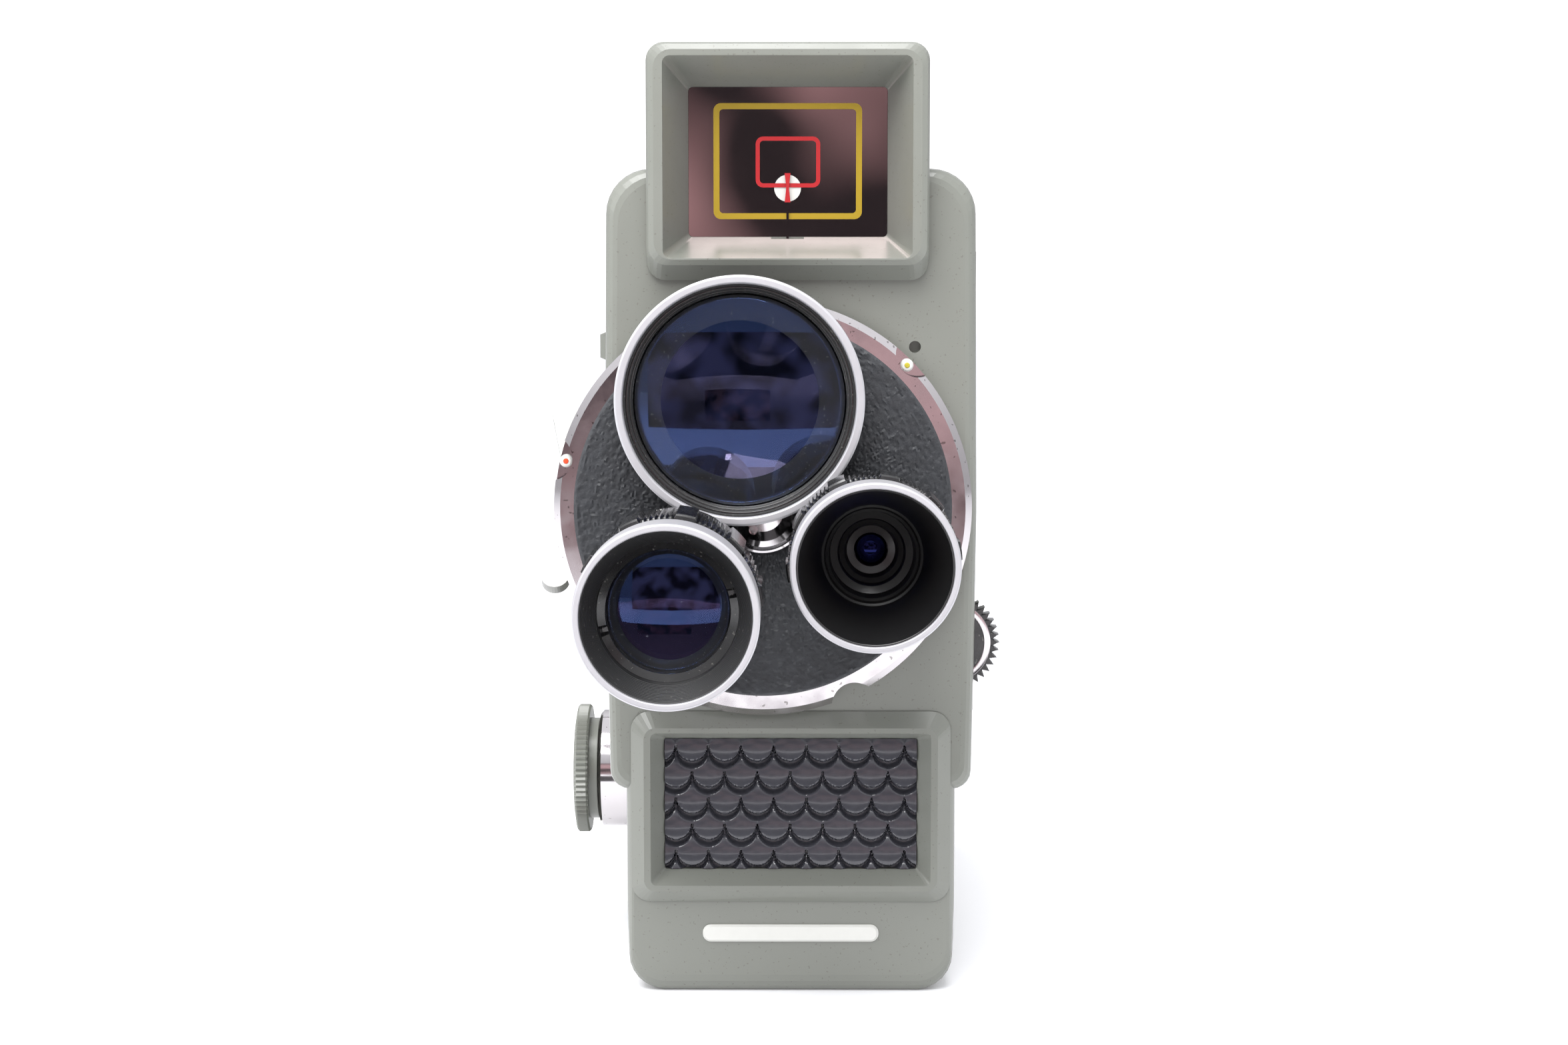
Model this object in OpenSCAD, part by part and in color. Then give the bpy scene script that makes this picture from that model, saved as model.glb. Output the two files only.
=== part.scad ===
// Spring-wound 8 mm cine camera with a three-lens turret, a selenium exposure meter
// and an optical finder on top.
// Frame: millimetres, +X to the film-door side, +Y from the lenses to the back, +Z up.
// The origin is the centre of the tripod socket's mouth, on the base.

/* [Body] */
// Width of the lower body
body_w = 44.8; // [44:0.1:46]
// Width across the two side covers
wide_w = 50; // [49.6:0.1:51]
// Height of the body without the finder
body_h = 112; // [111.5:0.1:113]
// Height where the wide side covers start
cover_z0 = 28; // [26:0.5:30]
// Distance from the tripod socket to the front face
front_depth = 44; // [43.5:0.1:44.5]
// Distance from the tripod socket to the back face
back_depth = 52; // [51:0.1:54]

/* [Finder] */
// Width of the finder hood
hood_w = 37.4; // [37:0.1:38]
// Height of the hood's top above the base
hood_top = 128.4; // [128:0.1:130]
// Width of the finder's front glass
glass_w = 26.8; // [26:0.1:27.2]

/* [Turret] */
// Radius of the turret disc
turret_r = 27.8; // [27.4:0.1:28]
// Radius of the circle that the three lenses sit on
lens_circle_r = 15; // [14.9:0.05:15.1]
// Angle of the top lens on the turret, counter-clockwise from +X
lens_angle = 101.3; // [100:0.1:103]

/* [Lenses] */
// Front radius of the wide lens
wide_lens_r = 16.3; // [16:0.05:16.4]
// Front radius of the tele lens
tele_lens_r = 11.4; // [11:0.05:11.5]
// Front radius of the normal lens
normal_lens_r = 10.6; // [10.2:0.05:10.8]

/* [Film] */
// Radius of the film spools' flanges
spool_r = 25; // [24.5:0.1:25.2]
// Angle that the winding key stands at
key_angle = 42; // [0:1:90]

/* [Hidden] */
$fn = 64;

eps = 0.1;                       // overrun of a cutter past the face that it cuts
yf = -front_depth;               // front face
yb = back_depth;                 // back face
nose_back = yf + 6;              // joint between the front housing and the casting
wall = 1.8;
edge_r = 1.6;                    // rounding of the housing's outer edges
cheek_x = body_w / 2;            // side face of the casting
panel_gap = 0.3;                 // gap round the film door
web_x0 = -4.2;                   // wall between the film and the mechanism
web_x1 = -2.8;
bay_y0 = nose_back + wall;       // the two side bays, front to back
bay_y1 = yb - 3.5;
bay_z0 = 3.2;
bay_z1 = body_h - 3.2;
bay_r = 4;

// turret and optical axis
tx = -3.7;
tz = 67;
turret_back = yf - 1;            // back face of the turret disc
turret_face = yf - 5;            // face that the lenses seat on
seat_r = 7.9;                    // the lenses' thread in the turret
marked_notches = [44.8, 166.6];  // angles of the rim notches that hold a dot
open_notch = 295;                // angle of the notch that is cut right through
notch_ring_r = 29;
dot_ring_r = 26.95;
flange_to_film = 12.3;
film_y = turret_face + flange_to_film;
axis_x = tx + lens_circle_r * cos(lens_angle - 120);
axis_z = tz + lens_circle_r * sin(lens_angle - 120);
film_x = axis_x - 4;             // middle of the 16 mm wide film

// finder
hood_x = -0.4;
hood_z0 = 97.2;
hood_lip_z = 100;
hood_y0 = yf - 3.6;
glass_y = yf + 5.2;              // front of the finder glass
glass_z0 = 103;
glass_z1 = 123;
tunnel_wall = 2.4;                // floor and sides of the finder's tunnel
hood_y1 = yf + 20;                // back of the hood
spine_z1 = 126;
eye_z = 118;
meter_x = -0.45;
meter_z = 109.5;
galvo_z = 92.5;

// light cell
cell_x = 17.2;                   // half width of the window
cell_z0 = 17;
cell_z1 = 35.1;
frame_proud = 1.6;

// mechanism
key_y = 10;
key_z = 63.5;
gear_m = 0.5;                    // module of every gear
barrel_teeth = 88;
train_pinion_teeth = 12;
train_teeth = 48;
governor_teeth = 12;
shutter_teeth = 12;
transfer_teeth = 48;
train_dir = 232;                 // direction from the barrel to the train wheel
governor_dir = 250;              // direction from the train wheel to the governor
train_y = key_y + gear_m * (barrel_teeth + train_pinion_teeth) / 2 * cos(train_dir);
train_z = key_z + gear_m * (barrel_teeth + train_pinion_teeth) / 2 * sin(train_dir);
governor_y = train_y + gear_m * (train_teeth + governor_teeth) / 2 * cos(governor_dir);
governor_z = train_z + gear_m * (train_teeth + governor_teeth) / 2 * sin(governor_dir);
shutter_x = axis_x - 4.5;
shutter_z = axis_z - 4.5;
transfer_dir = 215;
transfer_x = shutter_x + gear_m * (transfer_teeth + shutter_teeth) / 2 * cos(transfer_dir);
transfer_z = shutter_z + gear_m * (transfer_teeth + shutter_teeth) / 2 * sin(transfer_dir);

// film
spool_y = 22;
supply_z = 82.6;
takeup_z = 30.8;
spool_x0 = film_x - 8.8;
spool_x1 = film_x + 8.8;

// door hinge
hinge_x = 23.9;
hinge_y = nose_back + 1.5;
knuckle_r = 1.3;
pin_r = 0.6;

// side controls
wheel_x = 21.6;
wheel_z = 48;
wheel_r = 6.85;
dial_y = -12;
dial_z = 25;
counter_y = 36;
counter_z = 96;
release_y = -30;
release_z = 88;

// ---------- helpers ----------
module ycyl(x, z, y0, y1, r) {
    translate([x, y0, z]) rotate([-90, 0, 0]) cylinder(h = y1 - y0, r = r);
}
module xcyl(y, z, x0, x1, r) {
    translate([x0, y, z]) rotate([0, 90, 0]) cylinder(h = x1 - x0, r = r);
}
module zcyl(x, y, z0, z1, r) {
    translate([x, y, z0]) cylinder(h = z1 - z0, r = r);
}
// 2D outline in X and Z, extruded from y0 back to y1
module slab_y(y0, y1) {
    translate([0, y1, 0]) rotate([90, 0, 0]) linear_extrude(y1 - y0) children();
}
// 2D outline in Y and Z, extruded from x0 to x1
module slab_x(x0, x1) {
    translate([x0, 0, 0]) rotate([90, 0, 90]) linear_extrude(x1 - x0) children();
}
// profile of [radius, height] turned about Y, height counted forward from y
module turned_y(x, z, y, profile) {
    translate([x, y, z]) rotate([90, 0, 0]) rotate_extrude() polygon(profile);
}
// profile of [radius, height] turned about X, height counted towards +X from x
module turned_x(x, y, z, profile) {
    translate([x, y, z]) rotate([0, 90, 0]) rotate_extrude() polygon(profile);
}
function arc(cx, cz, r, a0, a1, n) =
    [for (i = [0:n]) [cx + r * cos(a0 + (a1 - a0) * i / n), cz + r * sin(a0 + (a1 - a0) * i / n)]];
function rounded(x0, z0, x1, z1, r) = concat(arc(x1 - r, z1 - r, r, 0, 90, 6),
    arc(x0 + r, z1 - r, r, 90, 180, 6), arc(x0 + r, z0 + r, r, 180, 270, 6),
    arc(x1 - r, z0 + r, r, 270, 360, 6));
module rrect(x0, z0, x1, z1, r) polygon(rounded(x0, z0, x1, z1, r));
module box(lo, hi) translate(lo) cube([for (i = [0:2]) hi[i] - lo[i]]);

// outline of the wide upper body with its crowned sides, pulled in by g
function wide_side(g) = concat(arc(wide_w / 2 - 3 - g, cover_z0 + 2.6 + g, 2.6, -90, 0, 5),
    [[wide_w / 2 - 0.1 - g, 48], [wide_w / 2 + 0.1 - g, 66], [wide_w / 2 - 0.1 - g, 86]],
    arc(wide_w / 2 - 6.3 - g, body_h - 6 - g, 6, 0, 90, 8));
function mirrored(p) = [for (i = [len(p) - 1:-1:0]) [-p[i][0], p[i][1]]];
module wide_outline(g = 0) polygon(concat(wide_side(g), mirrored(wide_side(g))));
// outline of the narrow body, pulled in by g
function narrow_side(g) = concat(arc(cheek_x - 5.2, 5 + g, 5 - g / 2, -85, 0, 6),
    [[cheek_x - g, 12], [cheek_x - g, body_h - g]]);
module narrow_outline(g = 0) polygon(concat(narrow_side(g), mirrored(narrow_side(g))));
module casting_outline(g = 0) intersection() {
    narrow_outline(g);
    union() {
        wide_outline(g);
        translate([-wide_w, -1]) square([2 * wide_w, 50]);
    }
}
// gear outline with trapezium teeth, the first one at angle 0
function gear_points(n, m, w) = [for (i = [0:n - 1], j = [0:3])
    let (r = n * m / 2 + (j == 1 || j == 2 ? 0.75 * m : -0.95 * m),
         a = 360 / n * (i + w * [-0.66, -0.3, 0.3, 0.66][j]))
    [r * cos(a), r * sin(a)]];
module gear2d(n, m = gear_m, w = 0.42) polygon(gear_points(n, m, w));
// ring outline with a number of raised lugs
function lug_points(r0, r1, n, w) = [for (i = [0:n - 1], k = [0:1], j = [0:4])
    let (a = 360 / n * (i + (k == 0 ? w * (j / 4 - 0.5) : w / 2 + (1 - w) * (j + 0.5) / 5)))
    (k == 0 ? r1 : r0) * [cos(a), sin(a)]];
function lens_x(i) = tx + lens_circle_r * cos(lens_angle + 120 * i);
function lens_z(i) = tz + lens_circle_r * sin(lens_angle + 120 * i);
module lens_turned(i, profile) turned_y(lens_x(i), lens_z(i), turret_face, profile);

// ---------- casing ----------
module body_casting() color([0.59, 0.60, 0.56]) difference() {
    union() {
        slab_y(nose_back, yb) casting_outline();
        for (z = [38, 67, 96]) hinge_arm(z);
    }
    // mechanism bay, open to -X, and film bay, open to +X
    slab_x(-wide_w, web_x0) rrect(bay_y0, bay_z0, bay_y1, bay_z1, bay_r);
    slab_x(web_x1, cheek_x + eps) rrect(bay_y0, bay_z0, bay_y1, bay_z1, bay_r);
    // room for the finder tunnel
    finder_room(nose_back - eps, hood_y1 + 1);
    // gate window
    box([film_x - 8.7, nose_back - eps, axis_z - 14], [film_x + 8.7, bay_y0 + eps, axis_z + 14]);
    ycyl(transfer_x, transfer_z, nose_back - eps, bay_y0 + eps, 1.25);
    // spool spindles through the web
    xcyl(spool_y, supply_z, web_x0 - eps, web_x1 + eps, 1.5);
    xcyl(spool_y, takeup_z, web_x0 - eps, web_x1 + eps, 1.5);
    // pivots in the web for the gear train
    for (p = [[train_y, train_z], [governor_y, governor_z]])
        xcyl(p[0], p[1], web_x0 - eps, web_x0 + 0.9, 0.85);
    xcyl(key_y, key_z, web_x0 - eps, web_x0 + 0.9, 2.05);
    // tripod and cable-release bushes
    zcyl(0, 0, -eps, 8, 5);
    zcyl(0, 0, bay_z0, bay_z0 + 1.2, 7);
    ycyl(-12, 72, bay_y1 - eps, yb + eps, 3);
    hinge_bores();
}
module finder_room(y0, y1)
    box([hood_x - glass_w / 2 - tunnel_wall - eps, y0, glass_z0 - tunnel_wall - eps],
        [hood_x + glass_w / 2 + tunnel_wall + eps, y1, body_h + eps]);
module hinge_arm(z) {
    zcyl(hinge_x, hinge_y, z, z + 5, knuckle_r);
    box([cheek_x - 1, nose_back + 0.3, z], [hinge_x, hinge_y + 0.2, z + 5]);
}
module hinge_bores() zcyl(hinge_x, hinge_y, 30, 110, pin_r);

// depth behind the front face at which the rounded edge is inset by g
function edge_depth(g) = edge_r - sqrt(edge_r * edge_r - (edge_r - g) * (edge_r - g));
module front_housing() color([0.59, 0.60, 0.56]) difference() {
    union() {
        hull() for (g = [0, 0.15, 0.5, 1, edge_r])
            slab_y(yf + edge_depth(g), nose_back) wide_outline(g);
        hull() for (g = [0, 0.15, 0.5, 1, edge_r])
            slab_y(yf + edge_depth(g), nose_back) casting_outline(g);
    }
    // hollow behind the front wall
    slab_y(yf + 2.2, nose_back + eps) union() {
        wide_outline(wall);
        narrow_outline(wall);
    }
    // window for the finder hood
    finder_room(yf - eps, nose_back + eps);
    // opening for the light cell's liner
    box([-cell_x - 1.1, yf - eps, cell_z0 - 1.1], [cell_x + 1.1, yf + 3, cell_z1 + 1.1]);
    ycyl(tx, tz, yf - eps, yf + 3, 3.05);
    ycyl(axis_x, axis_z, yf - eps, yf + 3, 5);
    ycyl(16.6, 88.3, yf - eps, yf + 1.4, 0.8);
    // blind bearings for the shutter, the transfer gear and the speed wheel
    ycyl(shutter_x, shutter_z, yf + 0.6, yf + 3, 0.85);
    ycyl(transfer_x, transfer_z, yf + 0.6, yf + 3, 1.25);
    ycyl(wheel_x, wheel_z, yf + 0.8, yf + 3, 1.25);
    // slot that lets the speed wheel stand out of the side
    box([wheel_x - 2, yf + 2.1, wheel_z - 7.4], [wide_w, nose_back + eps, wheel_z + 7.4]);
}

// fixed cover over the mechanism bay: an inner plate and a raised, hollow bulge
module winding_cover() color([0.59, 0.60, 0.56]) difference() {
    union() {
        slab_x(-cheek_x, -cheek_x + 1.4)
            rrect(bay_y0, bay_z0, bay_y1, bay_z1, bay_r);
        intersection() {
            slab_y(nose_back, yb) wide_outline();
            box([-wide_w, nose_back, 0], [-cheek_x, yb, body_h + 1]);
        }
    }
    // hollow inside the bulge
    slab_x(-wide_w / 2 + 1.2, -cheek_x + 1.4 + eps)
        rrect(bay_y0 + 2, cover_z0 + 2, bay_y1 - 2, bay_z1 - 2, bay_r);
    xcyl(key_y, key_z, -wide_w, 0, 3.05);
    xcyl(dial_y, dial_z, -wide_w, 0, 2.05);
    xcyl(counter_y, counter_z, -wide_w, 0, 4.5);
    // slot for the release
    box([-wide_w, release_y - 1.1, release_z - 6.2], [-cheek_x + 2, release_y + 1.1, release_z + 1.2]);
    for (p = cover_screw_places) xcyl(p[0], p[1], -wide_w, -wide_w / 2 + 0.6, 1.6);
}
cover_screw_places = [[-33, 38], [-33, 103], [46, 38], [46, 103]];
module cover_screws() color([0.75, 0.75, 0.73]) for (p = cover_screw_places) difference() {
    xcyl(p[0], p[1], -wide_w / 2 - 0.1, -wide_w / 2 + 0.6, 1.55);
    box([-wide_w, p[0] - 2, p[1] - 0.25], [-wide_w / 2 + 0.25, p[0] + 2, p[1] + 0.25]);
}
module door_shape() {
    difference() {
        union() {
            // plate inside the bay's opening
            slab_x(cheek_x - 1.5, cheek_x + panel_gap)
                rrect(bay_y0 + panel_gap, bay_z0 + panel_gap, bay_y1 - panel_gap,
                    bay_z1 - panel_gap, bay_r - panel_gap);
            // raised bulge outside
            intersection() {
                slab_y(hinge_y + knuckle_r + panel_gap, yb - 0.4) wide_outline();
                box([cheek_x + panel_gap, nose_back, 0], [wide_w, yb, body_h + 1]);
            }
        }
        xcyl(door_latch_y, door_latch_z, 0, wide_w, 3.05);
    }
}
door_latch_y = 26;
door_latch_z = 58;
module film_door() color([0.59, 0.60, 0.56]) difference() {
    union() {
        door_shape();
        for (z = [43.3, 72.3]) {
            zcyl(hinge_x, hinge_y, z, z + 23.4, knuckle_r);
            box([hinge_x - 0.9, hinge_y, z], [hinge_x + 0.9, hinge_y + knuckle_r + 0.6, z + 23.4]);
        }
    }
    zcyl(hinge_x, hinge_y, 30, 110, pin_r + 0.05);
}
module door_hinge_pin() color([0.75, 0.75, 0.73]) zcyl(hinge_x, hinge_y, 37, 102, pin_r);
module door_latch() color([0.70, 0.70, 0.67]) {
    xcyl(door_latch_y, door_latch_z, wide_w / 2 + 0.35, wide_w / 2 + 1.5, 9);
    hull() {
        xcyl(door_latch_y, door_latch_z - 6.5, wide_w / 2 + 1.4, wide_w / 2 + 3.2, 1.6);
        xcyl(door_latch_y, door_latch_z + 6.5, wide_w / 2 + 1.4, wide_w / 2 + 3.2, 1.6);
    }
    xcyl(door_latch_y, door_latch_z, cheek_x - 2.5, wide_w / 2 + 1.5, 3);
    box([cheek_x - 4, door_latch_y - 2, door_latch_z - 2.5],
        [cheek_x - 2, door_latch_y + 2, door_latch_z + 9]);
}
module tripod_bush() color([0.72, 0.66, 0.45]) difference() {
    union() {
        zcyl(0, 0, 0, 8, 5);
        zcyl(0, 0, bay_z0, bay_z0 + 1.2, 7);
    }
    zcyl(0, 0, -eps, 6.5, 2.6);
}
module release_bush() color([0.75, 0.75, 0.73]) difference() {
    union() {
        ycyl(-12, 72, bay_y1 - 1, yb, 3);
        ycyl(-12, 72, yb, yb + 0.6, 4.2);
    }
    ycyl(-12, 72, bay_y1 - 2, yb + 1, 1.6);
}
// ---------- finder ----------
hood_x0 = hood_x - hood_w / 2;
hood_x1 = hood_x + hood_w / 2;
module finder_housing() color([0.59, 0.60, 0.56]) difference() {
    union() {
        // hood above the body, with a rounded front edge
        hull() for (g = [0, 0.3, 1])
            slab_y(hood_y0 + 1 - sqrt(1 - (1 - g) * (1 - g)), hood_y1)
                rrect(hood_x0 + g, body_h + g, hood_x1 - g, hood_top - g, 2.4);
        // hood in front of the body, its underside sloping back to the front face
        hull() {
            for (g = [0, 0.3, 1])
                slab_y(hood_y0 + 1 - sqrt(1 - (1 - g) * (1 - g)), yf - 2.2)
                    rrect(hood_x0 + g, hood_lip_z + g - 1.1, hood_x1 - g, hood_top - g, 2.4);
            slab_y(yf - 0.8, yf) rrect(hood_x0, hood_z0, hood_x1, hood_top, 2.4);
        }
        // spine to the back
        slab_y(hood_y1, yb - 2) rrect(hood_x - 13.5, body_h, hood_x + 13.5, spine_z1, 3);
        // tunnel floor inside the body
        box([hood_x - glass_w / 2 - tunnel_wall, yf, glass_z0 - tunnel_wall],
            [hood_x + glass_w / 2 + tunnel_wall, hood_y1, body_h]);
    }
    // funnel
    hull() {
        slab_y(hood_y0 - eps, hood_y0)
            rrect(hood_x - 16.5, hood_lip_z + 0.1, hood_x + 16.5, hood_top - 1.8, 1);
        slab_y(glass_y, glass_y + eps)
            rrect(hood_x - glass_w / 2, glass_z0, hood_x + glass_w / 2, glass_z1, 0.6);
    }
    slab_y(glass_y, hood_y1 - 2)
        rrect(hood_x - glass_w / 2, glass_z0, hood_x + glass_w / 2, glass_z1, 0.6);
    slab_y(hood_y1 - 2.5, yb) rrect(hood_x - 7, eye_z - 4.5, hood_x + 7, eye_z + 5, 1);
    // slot for the meter arm
    box([meter_x - 2.2, glass_y - 0.8, glass_z0 - tunnel_wall - 0.1],
        [meter_x + 2.2, glass_y - 0.1, glass_z0 + 0.3]);
}
module finder_front_glass() color([0.15, 0.13, 0.15]) slab_y(glass_y, glass_y + 0.9)
    rrect(hood_x - glass_w / 2, glass_z0, hood_x + glass_w / 2, glass_z1, 0.6);
module frame_line(x, z, w, h, line) slab_y(glass_y - 0.25, glass_y - 0.13) difference() {
    rrect(x - w / 2, z - h / 2, x + w / 2, z + h / 2, 1);
    rrect(x - w / 2 + line, z - h / 2 + line, x + w / 2 - line, z + h / 2 - line, 0.5);
}
module frame_line_outer() color([0.80, 0.68, 0.05])
    frame_line(-0.43, 113.1, 20, 15.5, 0.8);
module frame_line_inner() color([0.85, 0.08, 0.08])
    frame_line(-0.4, 113, 8.7, 6.8, 0.55);
module meter_disc() color([0.95, 0.95, 0.92])
    ycyl(meter_x, meter_z, glass_y - 0.12, glass_y, 1.8);
module meter_arm() color([0.05, 0.05, 0.05]) difference() {
    union() {
        box([meter_x - 0.15, glass_y - 0.6, galvo_z], [meter_x + 0.15, glass_y - 0.4, meter_z - 1.9]);
        ycyl(meter_x, galvo_z, glass_y - 0.8, glass_y - 0.35, 1.2);
    }
    ycyl(meter_x, galvo_z, glass_y - 1, glass_y, 0.45);
}
module meter_needle() color([0.85, 0.08, 0.08])
    slab_y(glass_y - 0.6, glass_y - 0.4) translate([meter_x, meter_z])
        polygon([[-0.4, -1.9], [0.4, -1.9], [0.2, -0.2], [0.2, 0.3], [0.4, 2], [-0.4, 2],
            [-0.2, 0.3], [-0.2, -0.2]]);
module galvanometer() color([0.55, 0.45, 0.25]) {
    ycyl(meter_x, galvo_z, glass_y - 0.2, nose_back - 0.1, 6);
    ycyl(meter_x, galvo_z, yf + 2.2, glass_y, 0.4);
}
module eyepiece_ring() color([0.08, 0.08, 0.08]) turned_y(hood_x, eye_z, yb + 2.4,
    [[5, 0], [5.8, 0], [5.8, 3.6], [5.4, 4], [5.4, 4.35], [4.6, 4.35], [4.6, 1.2]]);
module eyepiece_glass() color([0.7, 0.8, 0.9, 0.5]) turned_y(hood_x, eye_z, yb + 2.4,
    [[0, 1], [2.5, 1.1], [4.5, 1.5], [4.5, 4], [0, 4]]);
// ---------- light cell ----------
module cell_frame() color([0.59, 0.60, 0.56]) difference() {
    union() {
        hull() {
            slab_y(yf - 0.2, yf) rrect(-21.7, 12.7, 21.7, 39, 2.6);
            slab_y(yf - frame_proud, yf) rrect(-19.9, 14.4, 19.9, 36.9, 1.6);
        }
        slab_y(yf - eps, yf + 2.1) rrect(-cell_x - 1, cell_z0 - 1, cell_x + 1, cell_z1 + 1, 0.5);
    }
    hull() {
        slab_y(yf - frame_proud - eps, yf - frame_proud)
            rrect(-19, 15.2, 19, 36.2, 0.8);
        slab_y(yf + 0.8, yf + 0.9) rrect(-cell_x, cell_z0, cell_x, cell_z1, 0.3);
    }
    slab_y(yf + 0.5, yf + 3) rrect(-cell_x, cell_z0, cell_x, cell_z1, 0.3);
}
module cell_window() color([0.25, 0.27, 0.30]) slab_y(yf + 0.9, yf + 1.9)
    rrect(-cell_x + 0.05, cell_z0 + 0.05, cell_x - 0.05, cell_z1 - 0.05, 0.3);
module selenium_cell() color([0.22, 0.20, 0.24]) slab_y(yf + 1.9, yf + 2.6)
    rrect(-cell_x + 0.4, cell_z0 + 0.4, cell_x - 0.4, cell_z1 - 0.4, 0.5);
module name_bar() color([0.93, 0.93, 0.90]) hull() {
    slab_y(yf - 0.2, yf) rrect(-12, 7.1, 12, 9.5, 1.1);
    slab_y(yf - 0.5, yf) rrect(-11.7, 7.4, 11.7, 9.2, 0.8);
}
// ---------- turret ----------
module turret_disc() color([0.75, 0.75, 0.75]) difference() {
    union() {
        turned_y(tx, tz, turret_back, [[0, 0], [turret_r - 0.6, 0], [turret_r, 0.6],
            [turret_r, 3.1], [turret_r - 0.9, 4], [0, 4]]);
        // spindle and the collar that holds it behind the front wall
        ycyl(tx, tz, turret_back - 1, yf + 3.5, 3);
        ycyl(tx, tz, yf + 2.5, yf + 3.5, 4.2);
    }
    for (i = [0:2]) ycyl(lens_x(i), lens_z(i), turret_face - 1, turret_back + 1, seat_r + 0.05);
    // notches in the rim that the turret is turned by
    for (a = marked_notches) rim_notch(a, turret_back - 1.4);
    rim_notch(open_notch, turret_back + 1);
}
module rim_notch(a, floor_y)
    ycyl(tx + notch_ring_r * cos(a), tz + notch_ring_r * sin(a), turret_face - 1, floor_y, 3);
module turret_leather() color([0.10, 0.10, 0.11]) difference() {
    ycyl(tx, tz, turret_face - 0.4, turret_face, turret_r - 2.7);
    for (i = [0:2]) ycyl(lens_x(i), lens_z(i), turret_face - 1, turret_face + 1, 9.3);
    ycyl(tx, tz, turret_face - 1, turret_face + 1, 5.9);
}
module turret_hub() color([0.80, 0.80, 0.80]) difference() {
    turned_y(tx, tz, turret_face, [[0, 0], [5.8, 0], [5.8, 0.7], [5.5, 0.9], [5.3, 1.3],
        [4.9, 1.7], [4.1, 2.05], [2.8, 2.25], [1.7, 2.3], [0, 2.3]]);
    // two spanner holes and the seat of the screw
    for (k = [-1, 1])
        ycyl(tx + 1.2 * k, tz + 2.6 * k, turret_face - 3, turret_face - 1.1, 0.6);
    ycyl(tx, tz, turret_face - 3, turret_face - 1.1, 1.65);
}
module turret_hub_screw() color([0.75, 0.75, 0.75]) difference() {
    ycyl(tx, tz, turret_face - 2.15, turret_face - 1.1, 1.6);
    box([tx - 2, turret_face - 3, tz - 0.2], [tx + 2, turret_face - 1.8, tz + 0.2]);
}
module turret_dots() color([0.85, 0.2, 0.1]) for (a = marked_notches)
    turned_y(tx + dot_ring_r * cos(a), tz + dot_ring_r * sin(a), turret_back - 1.4,
        [[0, 0], [0.85, 0], [0.85, 0.7], [0.65, 1], [0, 1.15]]);
// ---------- lenses: 0 wide, 1 tele, 2 normal; heights from the turret's face ----------
module wide_lens_barrel() color([0.05, 0.05, 0.05]) lens_turned(0, [[0, -3.5], [7.85, -3.5],
    [7.85, 0], [9, 0], [9, 2.6], [14.9, 2.6], [14.9, 6.3], [14, 6.3], [14, 3.4], [0, 3.4]]);
module wide_lens_focus_ring() color([0.05, 0.05, 0.05]) ring_prism(0, 2.6, 4.7, 14.96, 15.9, 16.2, 10);
module wide_lens_bezel() color([0.85, 0.85, 0.85]) lens_turned(0, [[14.95, 4.9],
    [wide_lens_r, 4.9], [wide_lens_r, 6.9], [wide_lens_r - 0.2, 7.1], [wide_lens_r - 1, 7.1],
    [wide_lens_r - 1.2, 6.4], [14.95, 6.4]]);
module wide_lens_glass() color([0.1, 0.12, 0.35]) lens_turned(0, [[0, 3.45], [13.9, 3.45],
    [13.9, 4.2], [11, 4.9], [7, 5.5], [3, 5.8], [0, 5.85]]);
module ring_prism(i, h0, h1, bore, r0, r1, lugs)
    translate([lens_x(i), turret_face - h0, lens_z(i)]) rotate([90, 0, 0]) difference() {
        linear_extrude(h1 - h0) polygon(lug_points(r0, r1, lugs, 0.42));
        translate([0, 0, -1]) cylinder(h = h1 - h0 + 2, r = bore);
    }
module tele_lens_barrel() color([0.05, 0.05, 0.05]) lens_turned(1, [[0, -3.5], [7.85, -3.5],
    [7.85, 0], [8.8, 0], [8.8, 8.6], [11, 9.2], [11, 13.8], [9.8, 13.9], [9.8, 31.5],
    [9.35, 31.5], [9.35, 24.4], [0, 24.4]]);
module tele_lens_focus_ring() color([0.05, 0.05, 0.05])
    ring_prism(1, 14.2, 26, 9.86, 11.2, 11.8, 10);
module tele_lens_bezel() color([0.85, 0.85, 0.85]) lens_turned(1, [[9.85, 28],
    [tele_lens_r - 0.5, 28], [tele_lens_r, 28.6], [tele_lens_r, 34.6], [tele_lens_r - 0.2, 34.8],
    [tele_lens_r - 0.85, 34.8], [tele_lens_r - 0.85, 31.6], [9.85, 31.6]]);
module tele_lens_cone() color([0.15, 0.15, 0.15]) lens_turned(1, [[7.7, 24.5], [9.3, 24.5],
    [9.3, 31.65], [10.5, 31.65], [10.5, 34.4], [10.3, 34.4], [8.7, 30.8], [8.7, 28.2],
    [7.9, 28.1], [7.7, 26.8]]);
module tele_lens_glass() color([0.12, 0.08, 0.25]) lens_turned(1, [[0, 24.6], [7.6, 24.6],
    [7.6, 26.6], [5, 27.5], [2.5, 27.9], [0, 28]]);
module normal_lens_barrel() color([0.05, 0.05, 0.05]) lens_turned(2, [[0, -3.5], [7.85, -3.5],
    [7.85, 0], [8.8, 0], [8.8, 8.6], [10.2, 9.2], [10.2, 11.8], [9.9, 11.9], [9.9, 24],
    [9.3, 24], [9.3, 9.5], [8.4, 9.5], [8.4, 3.5], [0, 3.5]]);
module normal_lens_focus_ring() color([0.05, 0.05, 0.05])
    ring_prism(2, 12.2, 20, 9.96, 10.6, 11.1, 10);
module normal_lens_bezel() color([0.85, 0.85, 0.85]) lens_turned(2, [[9.95, 21],
    [normal_lens_r - 0.4, 21], [normal_lens_r, 21.5], [normal_lens_r, 26.6],
    [normal_lens_r - 0.2, 26.8], [normal_lens_r - 0.82, 26.8], [normal_lens_r - 0.82, 24.1],
    [9.95, 24.1]]);
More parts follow.
